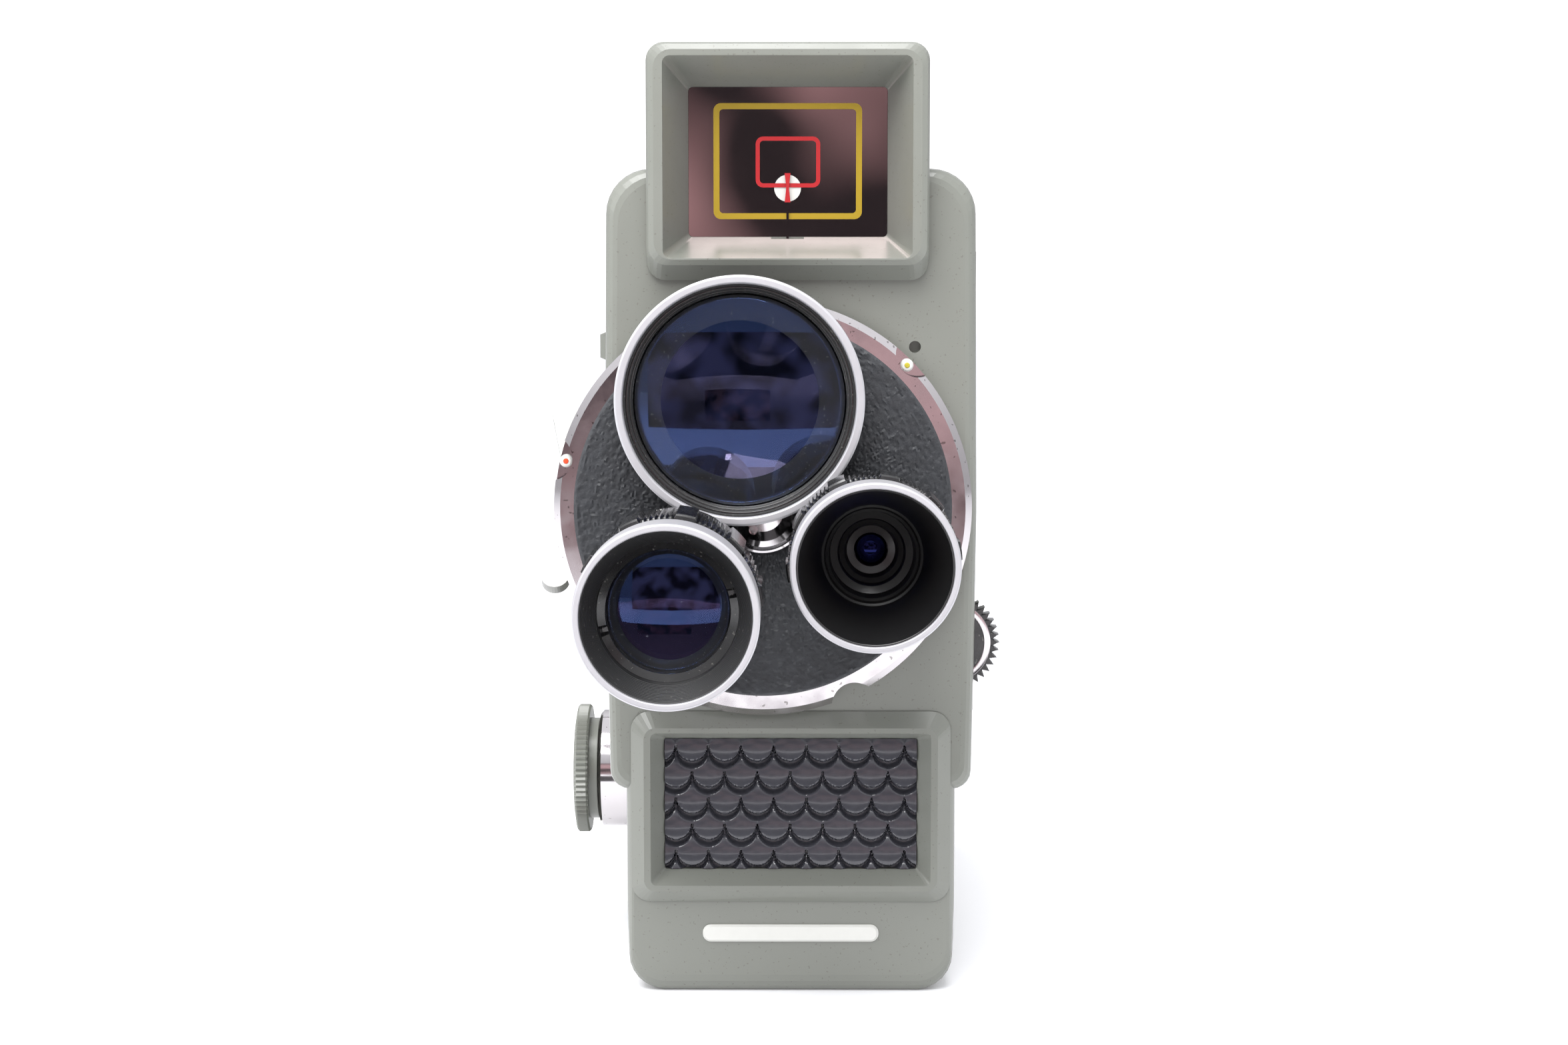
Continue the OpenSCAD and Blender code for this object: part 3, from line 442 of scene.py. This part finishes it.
# ---------------------------------------------------------------- casing
for name in ("body_casting", "front_housing", "winding_cover", "film_door", "finder_housing",
             "cell_frame"):
    dress(name, paint_grey, 0.3)
dress("door_latch", paint_grey, 0.2)
dress("release_slide", paint_grey, 0.2)
for name in ("cover_screws", "door_hinge_pin", "galvanometer", "gate_plate", "pressure_plate",
             "film_claw", "shutter", "mainspring"):
    dress(name, brass if name == "galvanometer" else steel)
for name in ("mainspring_barrel", "train_wheel", "governor", "transfer_gear", "tripod_bush"):
    dress(name, brass)
for name in ("winding_arbor", "release_bush", "dial_base", "turret_disc", "turret_hub",
             "turret_hub_screw"):
    dress(name, chrome)
dress("winding_key", key_satin, 0.35)
dress("supply_spool", spool_grey, 0.15)
dress("takeup_spool", spool_grey, 0.15)
dress("selenium_cell", cell_dark)
dress("name_bar", white_paint, 0.12)
dress("eyepiece_ring", lens_black, 0.15)
dress("eyepiece_glass", clear_glass)
dress("finder_front_glass", finder_dark)
dress("frame_line_outer", yellow_line)
dress("frame_line_inner", red_line)
dress("meter_disc", white_paint)
dress("meter_arm", finder_dark)
dress("meter_needle", red_line)
dress("footage_dial", white_paint)
dress("turret_dots", white_paint)
for name in ("wide_lens_barrel", "tele_lens_barrel", "normal_lens_barrel", "normal_lens_hood",
             "tele_lens_cone", "speed_wheel", "film_speed_dial", "wide_lens_focus_ring",
             "tele_lens_focus_ring", "normal_lens_focus_ring"):
    dress(name, lens_black)


# ---------------------------------------------------------------- turret
LEATHER_THICK = 0.4
HUB_R = 5.7
DOT_RING_R = 26.95
DOTS = ((44.8, yellow_dot), (166.6, red_dot))  # angle round the turret, finish


def turret():
    centre = middle("turret_leather")
    face = high("turret_leather").y
    outer = (high("turret_leather").x - low("turret_leather").x) / 2

    def grain(u, v):
        turn = math.radians(v)
        x, z = centre.x + u * math.cos(turn), centre.z + u * math.sin(turn)
        near = noise.voronoi(Vector((x * 2.6, z * 2.6, 0.5)))[0]
        pebble = smoothstep(0.0, 0.34, near[1] - near[0])
        slow = noise.noise(Vector((x * 0.5, z * 0.5, 3)))
        edge = smoothstep(0, 0.35, outer - u) * smoothstep(0, 0.35, u - HUB_R)
        return x, face - edge * (0.23 + 0.16 * pebble + 0.04 * slow), z

    sheet("turret_leather_grain", spread(HUB_R, outer, 0.24), spread(0, 360, 0.75), grain, leather,
          "turret", ("turret_leather",))
    for i, (angle, finish) in enumerate(DOTS):
        turn = math.radians(angle)
        place = (centre.x + DOT_RING_R * math.cos(turn), low("turret_dots").y + 0.1,
                 centre.z + DOT_RING_R * math.sin(turn))
        lathe(f"dot_{i}", place, "-Y", [(0, 0), (0.38, 0), (0.3, 0.12), (0, 0.16)], finish,
              "turret", steps=32, soft=0.02)


# ---------------------------------------------------------------- lenses
def ring_marks(name, base, radius, h0, h1, angles, body, width=0.16):
    """Short painted lines across a cylinder that is turned about Y."""
    vertices, faces = [], []
    for angle in angles:
        turn = math.radians(angle)
        out = Vector((math.cos(turn), 0, math.sin(turn)))
        side = Vector((-math.sin(turn), 0, math.cos(turn))) * width / 2
        first = len(vertices)
        for r in (radius - 0.1, radius + 0.02):
            for h in (h0, h1):
                for s in (-1, 1):
                    vertices.append(Vector(base) + out * r + side * s - Vector((0, h, 0)))
        faces += [[first + k for k in face] for face in BOX_FACES]
    return put(name, vertices, faces, mark_white, body, smooth=False)


def numerals(name, words, place, body, finish=mark_white, size=1.5):
    """Dial numbers: place(i) gives each one's matrix in millimetres, its letters facing +Z."""
    parts = []
    for i, word in enumerate(words):
        text = bpy.data.curves.new(f"{name}_{i}", "FONT")
        text.body = word
        text.size = size
        text.align_x = text.align_y = "CENTER"
        text.extrude = 0.03
        text.resolution_u = 3
        letter = bpy.data.objects.new(f"{name}_{i}", text)
        bpy.context.scene.collection.objects.link(letter)
        bpy.context.view_layer.update()
        mesh = bpy.data.meshes.new_from_object(letter)
        mesh.transform(Matrix.Scale(MM, 4) @ place(i))
        bpy.data.objects.remove(letter)
        parts.append(mesh)
    vertices, faces = [], []
    for mesh in parts:
        first = len(vertices)
        vertices += [v.co / MM for v in mesh.vertices]
        faces += [[first + k for k in p.vertices] for p in mesh.polygons]
        bpy.data.meshes.remove(mesh)
    return put(name, vertices, faces, finish, body, smooth=False)


def on_barrel(base, radius, height, angles):
    """Places letters on a cylinder about Y, their tops towards the camera's front."""
    def place(i):
        turn = math.radians(angles[i])
        out = Vector((math.cos(turn), 0, math.sin(turn)))
        up = Vector((0, -1, 0))
        side = up.cross(out)
        basis = Matrix((side, up, out)).transposed().to_4x4()
        return Matrix.Translation(Vector(base) + out * radius - Vector((0, height, 0))) @ basis
    return place


def lens_base(bezel):
    """Where a lens seats on the turret's face, in line with its front ring."""
    centre = middle(bezel)
    return centre.x, low("turret_leather").y + LEATHER_THICK, centre.z


def wide_lens():
    base = lens_base("wide_lens_bezel")
    silver = turned_silver("silver_wide", "wide_lens_bezel")
    lathe("wide_barrel", base, "-Y", [(7.85, -3.5), (7.85, 0), (9, 0), (9, 2.6), (14.9, 2.6),
          (14.9, 6.1), (14.55, 6.1), (14.55, 5.5), (14.2, 5.5), (14.2, 4.9), (13.95, 4.9),
          (13.95, 3.4), (10.4, 3.3), (8.7, 2.3), (7.5, 0.3), (0, 0.3), (0, -3.5)], lens_black,
          "turret", ("wide_lens_barrel",), soft=0.1)
    focus_ring("wide_knurl", base, 2.65, 4.75, 14.96,
               lug_radii(15.75, 16.25, 10, 7, 0.32), lens_black, "wide_focus",
               "wide_lens_focus_ring")
    lathe("wide_bezel_ring", base, "-Y", [(15, 4.95), (16.2, 4.95), (16.3, 5.15), (16.3, 6.95),
          (16.05, 7.1), (15.35, 7.1), (15.2, 6.9), (15.1, 6.3), (15, 6.3)], silver, "turret",
          ("wide_lens_bezel",), soft=0.08)
    lathe("wide_inner_rings", base, "-Y", [(13.9, 4.3), (14.0, 4.3), (14.05, 5.35), (14.35, 5.5),
          (14.4, 5.9), (14.75, 6.0), (14.85, 6.5), (15.08, 6.55), (15.08, 6.1), (14.6, 4.4),
          (13.9, 4.1)], flat_black, "turret", soft=0.05)
    lathe("wide_front_glass", base, "-Y", dome(13.92, 4.45, 1.35, 0.3), front_glass,
          "turret", ("wide_lens_glass",), soft=0, closed=False)
    lathe("wide_inner_mask", base, "-Y", [(10.35, 3.75), (13.9, 4.0), (13.9, 3.5), (10.35, 3.5)],
          flat_black, "turret", soft=0.03)
    lathe("wide_inner_glass", base, "-Y", dish(10.4, 0.9, 3.7), coat_grey, "turret",
          soft=0, closed=False)


def dome(radius, edge_h, rise, thickness):
    """Meniscus profile from the axis out: its front surface, then its back surface."""
    front = [(radius * k / 16, edge_h + rise * (1 - (k / 16) ** 2)) for k in range(17)]
    return front + [(r, h - thickness) for r, h in reversed(front)]


def dish(radius, centre_h, edge_h):
    """Single hollow surface from the axis out."""
    return [(radius * k / 12, centre_h + (edge_h - centre_h) * (k / 12) ** 2) for k in range(13)]


def grooves(start, end, count, depth):
    """Saw-tooth thread between two (radius, height) points."""
    start, end = Vector(start), Vector(end)
    along = end - start
    normal = Vector((-along.y, along.x)).normalized()
    out = []
    for k in range(count):
        out.append(start + along * (k / count))
        out.append(start + along * ((k + 0.6) / count) + normal * depth)
    return out + [end]


def tele_lens():
    base = lens_base("tele_lens_bezel")
    silver = turned_silver("silver_tele", "tele_lens_bezel")
    lathe("tele_barrel", base, "-Y", [(7.85, -3.5), (7.85, 0), (8.8, 0), (8.8, 8.4), (10.7, 8.7),
          (11, 9.2), (11, 13.6), (10.2, 13.8), (9.8, 14), (9.8, 26.1), (10.9, 26.2), (11, 26.5),
          (11, 27.9), (9.8, 28), (9.8, 31.5), (9.35, 31.5), (9.35, 24.4), (0, 24.4), (0, -3.5)],
          lens_black, "turret", ("tele_lens_barrel",), soft=0.12)
    focus_ring("tele_knurl", base, 14.2, 26, 9.86, lug_radii(11.1, 11.8, 10, 6, 0.3),
               lens_black, "tele_focus", "tele_lens_focus_ring")
    lathe("tele_bezel_ring", base, "-Y", [(9.85, 28.05), (10.9, 28.05), (11.4, 28.6), (11.4, 34.55),
          (11.2, 34.8), (10.6, 34.8), (10.5, 34.6), (10.52, 31.6), (9.85, 31.6)], silver,
          "turret", ("tele_lens_bezel",), soft=0.08)
    cone = ([(9.3, 24.5), (9.3, 31.6), (10.48, 31.65), (10.48, 34.4)]
            + grooves((10.3, 34.3), (8.75, 30.9), 12, 0.05)
            + [(8.72, 28.2), (8.45, 28.15), (8.4, 27.7), (7.95, 27.6), (7.7, 26.9), (7.7, 24.5)])
    lathe("tele_cone", base, "-Y", cone, flat_black, "turret",
          ("tele_lens_cone",), soft=0.02)
    slotted_ring("tele_retainer", base, 7.72, 8.7, 28.1, 29.0, (17, 197), "turret")
    lathe("tele_front_glass", base, "-Y", dome(7.7, 26.7, 1.15, 0.3), front_glass, "turret",
          ("tele_lens_glass",), soft=0, closed=False)
    lathe("tele_inner_glass", base, "-Y", dish(6.3, 24.62, 26.0), coat_violet, "turret",
          soft=0, closed=False)
    lathe("tele_inner_mask", base, "-Y", [(6.3, 25.95), (7.65, 26.5), (7.65, 25), (6.3, 25)],
          flat_black, "turret", soft=0.03)
    distances = (100, 122, 144, 166, 188, 210)
    numerals("tele_distances", ("2", "3", "5", "8", "15", "30"),
             on_barrel(base, 11.0, 11.4, distances), "turret", size=1.7)
    ring_marks("tele_ticks", base, 11.0, 12.6, 13.4, [a + k * 7.3 for a in distances[:5]
               for k in range(3)], "turret")


def slotted_ring(name, base, inner, outer, h0, h1, angles, body):
    """Retaining ring with a spanner slot at each angle."""
    along = frame_for("-Y")[2]
    steps = 120
    half_slot = 4
    vertices = []
    for i in range(steps):
        turn = 360 * i / steps
        slot = any(abs((turn - a + 180) % 360 - 180) < half_slot for a in angles)
        top = h0 + 0.1 if slot else h1
        out = spoke("-Y", turn)
        vertices += [Vector(base) + out * r + along * h for r, h in
                     ((inner, h0), (outer, h0), (outer, top), (inner, top - 0.35 * (h1 - h0)))]
    return put(name, vertices, ring_faces(steps, 4), lens_black, body)


def normal_lens():
    base = lens_base("normal_lens_bezel")
    silver = turned_silver("silver_normal", "normal_lens_bezel")
    lathe("normal_barrel", base, "-Y", [(7.85, -3.5), (7.85, 0), (8.8, 0), (8.8, 8.4), (9.9, 8.7),
          (10.2, 9.2), (10.2, 11.6), (9.9, 11.9), (9.9, 20.1), (10.3, 20.2), (10.3, 20.9),
          (9.9, 20.95), (9.9, 24), (9.3, 24), (9.3, 9.5), (8.4, 9.5), (8.4, 3.5), (0, 3.5),
          (0, -3.5)], lens_black, "turret", ("normal_lens_barrel",),
          soft=0.12)
    focus_ring("normal_knurl", base, 12.2, 20, 9.96, lug_radii(10.5, 11.1, 10, 6, 0.28),
               lens_black, "normal_focus", "normal_lens_focus_ring")
    lathe("normal_bezel_ring", base, "-Y", [(9.95, 21.05), (10.2, 21.05), (10.6, 21.5),
          (10.6, 26.55), (10.4, 26.8), (9.85, 26.8), (9.78, 26.6), (9.78, 24.1), (9.95, 24.1)],
          silver, "turret", ("normal_lens_bezel",), soft=0.08)
    hood = [(9.25, 9.55), (9.25, 24.1), (9.76, 24.15), (9.76, 26.45), (9.55, 26.4), (6.55, 12.6),
            (6.2, 12.4), (6.0, 11.9), (5.6, 11.6), (5.4, 9), (4.4, 8.6), (4.2, 7.4), (3.5, 7.0),
            (3.2, 5.4), (2.2, 5.2), (2.2, 3.6), (8.35, 3.6), (8.35, 9.55)]
    lathe("normal_cone", base, "-Y", hood, cone_black, "turret",
          ("normal_lens_hood",), soft=0.06)
    lathe("normal_glass", base, "-Y", [(2.15 * k / 8, 4.6 + 0.5 * (1 - (k / 8) ** 2))
          for k in range(9)] + [(2.15, 3.6), (0, 3.6)], coat_deep, "turret",
          ("normal_lens_glass",), soft=0, closed=False)
    distances = (60, 84, 108, 132, 156)
    numerals("normal_distances", ("1", "2", "3", "5", "10"),
             on_barrel(base, 10.2, 10.4, distances), "turret", size=1.5)


# ---------------------------------------------------------------- light cell window
def cell_window():
    lo, hi = low("cell_window"), high("cell_window")
    back = lo.y + 0.8
    pitch, row, radius = 4.45, 3.62, 2.12
    first_arc = lo.z + 14.65

    def surface(x, z):
        """Height of the scale pattern, its scales overlapping downwards, sunk deeper just under
        each scale's edge.
        """
        under = 9.0
        for k in range(7):
            offset = (k % 2) * pitch / 2 - 0.1
            across = (x - offset + pitch / 2) % pitch - pitch / 2
            bottom = first_arc - k * row + radius
            arc = bottom - math.sqrt(max(0, radius ** 2 - across ** 2))
            if z < arc:
                under = arc - z
                continue
            rise = smoothstep(0, 0.4, z - arc)
            round_off = 1 - min(1, (across ** 2 + (z - bottom) ** 2) / (radius * 1.12) ** 2)
            lean = max(0, 1 - (z - arc) / 5)
            shade = smoothstep(0.2, 0.85, under)
            return rise * (0.35 + 0.5 * lean + 0.55 * math.sqrt(round_off)) * shade
        return 0

    xs, zs = spread(lo.x, hi.x, 0.13), spread(lo.z, hi.z, 0.13)
    sheet("cell_scales", xs, zs, lambda x, z: (x, back - surface(x, z), z), window_plastic,
          "camera", ("cell_window",))


# ---------------------------------------------------------------- controls on the sides
def knurled_disc(name, base, axis, h0, h1, outline, finish, body, stands_for=()):
    """Disc with a toothed edge, from (radius, angle) points, with chamfered rims."""
    along = frame_for(axis)[2]
    base = Vector(base)
    edge = 0.25
    vertices = [base + along * h0, base + along * h1]
    for radius, angle in outline:
        out = spoke(axis, angle)
        vertices += [base + out * r + along * h for r, h in
                     ((radius - edge, h0), (radius, h0 + edge), (radius, h1 - edge),
                      (radius - edge, h1))]
    faces = []
    total = len(outline)
    for i in range(total):
        a, b = 2 + i * 4, 2 + (i + 1) % total * 4
        faces += [(a + k, b + k, b + k + 1, a + k + 1) for k in range(3)]
        faces += [(0, b, a), (1, a + 3, b + 3)]
    piece = put(name, vertices, faces, finish, body, stands_for)
    weld_axis(piece)
    return piece


def on_face(base, axis, radius, height, angles):
    """Places letters on a flat dial, their tops outwards."""
    along = frame_for(axis)[2]

    def place(i):
        out = spoke(axis, angles[i])
        side = out.cross(along)
        basis = Matrix((side, out, along)).transposed().to_4x4()
        return Matrix.Translation(Vector(base) + out * radius + along * height) @ basis
    return place


def film_speed_dial():
    """Milled grip over a plain body, its shaft going into the casing."""
    lo, hi = low("film_speed_dial"), high("film_speed_dial")
    centre = (lo + hi) / 2
    radius = (hi.z - lo.z) / 2
    base = (lo.x + 3.4, centre.y, centre.z)
    knurled_disc("speed_dial_grip", base, "-X", 1.3, 3.2,
                 [(radius - (0.35 if k % 2 else 0), k * 2.5) for k in range(144)], paint_grey,
                 "film_speed", ("film_speed_dial",))
    lathe("speed_dial_body", base, "-X", [(0, 0), (7.4, 0), (7.4, 1.5), (8.4, 1.6), (8.4, 2.9),
          (8.0, 3.4), (5.2, 3.4), (4.9, 3.2), (0, 3.2)], paint_grey, "film_speed",
          soft=0.1)
    lathe("speed_dial_shaft", base, "+X", [(0, 0), (2, 0), (2, 8.4), (0, 8.4)], steel,
          "film_speed", steps=64, soft=0.1)
    lathe("speed_dial_button", base, "-X", [(0, 3.1), (4.6, 3.1), (4.6, 3.25), (4.2, 3.4),
          (0, 3.4)], chrome, "film_speed", soft=0.08)
    angles = [20 + 40 * k for k in range(9)]
    numerals("speed_numbers", ("5", "8", "12", "16", "25", "40", "64", "80", "100"),
             on_face(base, "-X", 6.7, 3.41, angles), "film_speed", black_ink, 1.7)


def speed_wheel():
    lo, hi = low("speed_wheel"), high("speed_wheel")
    radius = (hi.z - lo.z) / 2
    base = ((lo.x + hi.x) / 2, hi.y, (lo.z + hi.z) / 2)
    thick = 2.7
    tooth = [(radius - (0, 0.95)[k % 2], k * 4.5 + (k % 2) * 0.4) for k in range(80)]
    knurled_disc("speed_wheel_teeth", base, "-Y", 0, thick, tooth, lens_black, "speed",
                 ("speed_wheel",))
    lathe("speed_wheel_hub", base, "-Y", [(0, thick), (1.2, thick), (1.2, thick + 1.7),
          (0, thick + 1.7)], steel, "speed", steps=48, soft=0.1)
    for k, height in enumerate((thick, 0)):
        lathe(f"speed_wheel_ring_{k}", base, "-Y", [(4.75, height - 0.1), (5.6, height - 0.1),
              (5.6, height + 0.12), (4.75, height + 0.12)], chrome, "speed",
              soft=0.06)


def footage_window():
    lo, hi = low("footage_dial"), high("footage_dial")
    dial = (lo.x, (lo.y + hi.y) / 2, (lo.z + hi.z) / 2)
    side = low("winding_cover").x
    lathe("counter_glass", (side, dial[1], dial[2]), "+X", [(0, 0.25), (4.45, 0.25), (4.45, 0.85),
          (0, 0.85)], clear_glass, "camera", soft=0.1)
    lathe("counter_rim", (side, dial[1], dial[2]), "+X", [(3.9, 0.08), (4.48, 0.08), (4.48, 1.4),
          (3.9, 1.4)], chrome, "camera", soft=0.1)
    words = ("0", "5", "10", "15", "20", "25")
    angles = [90 - 60 * k for k in range(6)]
    numerals("counter_numbers", words, on_face(dial, "-X", 2.7, 0.01, angles), "footage",
             black_ink, 1.5)


def winding_cover_marks():
    """Three bars on an arc beside the key."""
    key = middle("winding_key")
    centre = Vector((low("winding_cover").x, key.y, key.z))
    arc_r = 20
    for k in range(3):
        angle = math.radians(200 + 9 * k)
        place = centre + Vector((0, math.cos(angle), math.sin(angle))) * arc_r
        block(f"wind_mark_{k}", place - Vector((0.02, 0.25, 0.9)),
              place + Vector((0.25, 0.25, 0.9)), mark_white, "camera", edge=0.05)


def latch_grip():
    lo, hi = low("door_latch"), high("door_latch")
    centre = (lo + hi) / 2
    face = high("film_door").x + 1.2
    knurled_disc("latch_disc", (face + 0.1, centre.y, centre.z), "+X", -0.85, 0.25,
                 [(9 - (0.28 if k % 2 else 0), k * 3) for k in range(120)], paint_grey,
                 "door_latch")
    lathe("latch_inlay", (face, centre.y, centre.z), "+X", [(0, 0.3), (7.6, 0.3), (7.6, 0.42),
          (0, 0.42)], leather, "door_latch", soft=0.05)


turret()
wide_lens()
tele_lens()
normal_lens()
cell_window()
film_speed_dial()
speed_wheel()
footage_window()
winding_cover_marks()
latch_grip()


# ---------------------------------------------------------------- studio
def studio():
    """White floor, a large lamp above the front, a weaker one at the left, a small high one."""
    white = Finish("floor_white", (0.86, 0.86, 0.88, 1), 0.5, Emission_Color=(1, 1, 1, 1),
                   Emission_Strength=0.12)
    floor = plane("floor", 3.0, 3.0, white.material)
    area("sky_box", (-0.15, -0.42, 0.75), (0, 0, 0.07), 0.6, 11)
    area("side_left", (-0.8, -0.35, 0.45), (0, 0, 0.07), 0.4, 1.6)
    area("window_light", (0.12, -0.9, 0.75), (0, 0, 0.07), 0.07, 0.6)


def plane(name, half_x, half_y, material):
    mesh = bpy.data.meshes.new(name)
    mesh.from_pydata([(-half_x, -half_y, 0), (half_x, -half_y, 0), (half_x, half_y, 0),
                      (-half_x, half_y, 0)], [], [(0, 1, 2, 3)])
    mesh.materials.append(material)
    made = bpy.data.objects.new(name, mesh)
    bpy.context.scene.collection.objects.link(made)
    return made


def dark_cards():
    """Warm, dark cards in front that only mirrors see, so bright metal and glass have a tone."""
    tone = Finish("card", (0, 0, 0, 1), 1.0, Emission_Strength=1.0)
    mix = tone.node("ShaderNodeMix", data_type="RGBA")
    mix.inputs["A"].default_value = (0.04, 0.035, 0.04, 1)
    mix.inputs["B"].default_value = (0.86, 0.58, 0.60, 1)
    tone.link(tone.ramp(tone.noise(13, 1.5), 0.42, 0.6, 0, 1), mix.inputs["Factor"])
    tone.link(mix.outputs["Result"], tone.shader.inputs["Emission Color"])
    upright = plane("upright_card", 0.2, 0.094, tone.material)
    upright.rotation_euler = (math.radians(90), 0, 0)
    upright.location = (0, -0.5, 0.095)
    shade = Finish("shade", (0, 0, 0, 1), 1.0, Emission_Color=(0.05, 0.045, 0.05, 1),
                   Emission_Strength=1.0)
    lying = plane("lying_card", 0.2, 0.085, shade.material)
    lying.location = (0, -0.185, 0.001)
    for card in (upright, lying):
        card.visible_camera = card.visible_diffuse = card.visible_shadow = False


def area(name, place, target, size, power):
    data = bpy.data.lights.new(name, "AREA")
    data.size = size
    data.energy = power
    lamp = bpy.data.objects.new(name, data)
    lamp.location = place
    aim = Vector(target) - Vector(place)
    lamp.rotation_mode = "QUATERNION"
    lamp.rotation_quaternion = aim.to_track_quat("-Z", "Y")
    bpy.context.scene.collection.objects.link(lamp)


def world():
    """Soft white light all round, brighter from above; the view itself sees plain white."""
    sky = bpy.data.worlds.new("studio")
    bpy.context.scene.world = sky
    sky.use_nodes = True
    tree = sky.node_tree
    tree.nodes.clear()

    def node(kind, **values):
        made = tree.nodes.new(kind)
        for key, value in values.items():
            setattr(made, key, value)
        return made

    def mix(fac, a, b):
        made = node("ShaderNodeMix", data_type="RGBA")
        for socket, value in (("Factor", fac), ("A", a), ("B", b)):
            if isinstance(value, (tuple, list)):
                made.inputs[socket].default_value = value
            else:
                tree.links.new(value, made.inputs[socket])
        return made.outputs["Result"]

    split = node("ShaderNodeSeparateXYZ")
    tree.links.new(node("ShaderNodeTexCoord").outputs["Generated"], split.inputs[0])
    up = node("ShaderNodeMapRange", interpolation_type="SMOOTHSTEP")
    up.inputs["From Min"].default_value = 0.0
    up.inputs["From Max"].default_value = 0.9
    tree.links.new(split.outputs["Z"], up.inputs["Value"])
    light = mix(up.outputs["Result"], (0.62, 0.62, 0.64, 1), (1.25, 1.26, 1.3, 1))
    seen = node("ShaderNodeLightPath").outputs["Is Camera Ray"]
    background = node("ShaderNodeBackground")
    tree.links.new(mix(seen, light, (1.2, 1.2, 1.2, 1)), background.inputs["Color"])
    world_out = node("ShaderNodeOutputWorld")
    tree.links.new(background.outputs[0], world_out.inputs["Surface"])


EYE_X, EYE_AHEAD, EYE_HEIGHT = 0.00076, 0.3578, 0.10066  # metres, ahead of front_housing
EYE_DOWN, EYE_YAW = 5.74, 0.267  # degrees
FOCAL_LENGTH = 61.33  # millimetres, on a sensor 36 wide


def camera():
    """Eye a third of a metre in front, level with the top lens, looking slightly down."""
    data = bpy.data.cameras.new("camera")
    data.sensor_width = 36
    data.lens = FOCAL_LENGTH
    data.clip_start, data.clip_end = 0.01, 20
    eye = bpy.data.objects.new("camera", data)
    eye.location = (EYE_X, low("front_housing").y * MM - EYE_AHEAD, EYE_HEIGHT)
    eye.rotation_euler = (math.radians(90 - EYE_DOWN), 0, math.radians(EYE_YAW))
    bpy.context.scene.collection.objects.link(eye)
    bpy.context.scene.camera = eye


studio()
dark_cards()
world()
camera()
bpy.context.scene.view_settings.view_transform = "Standard"
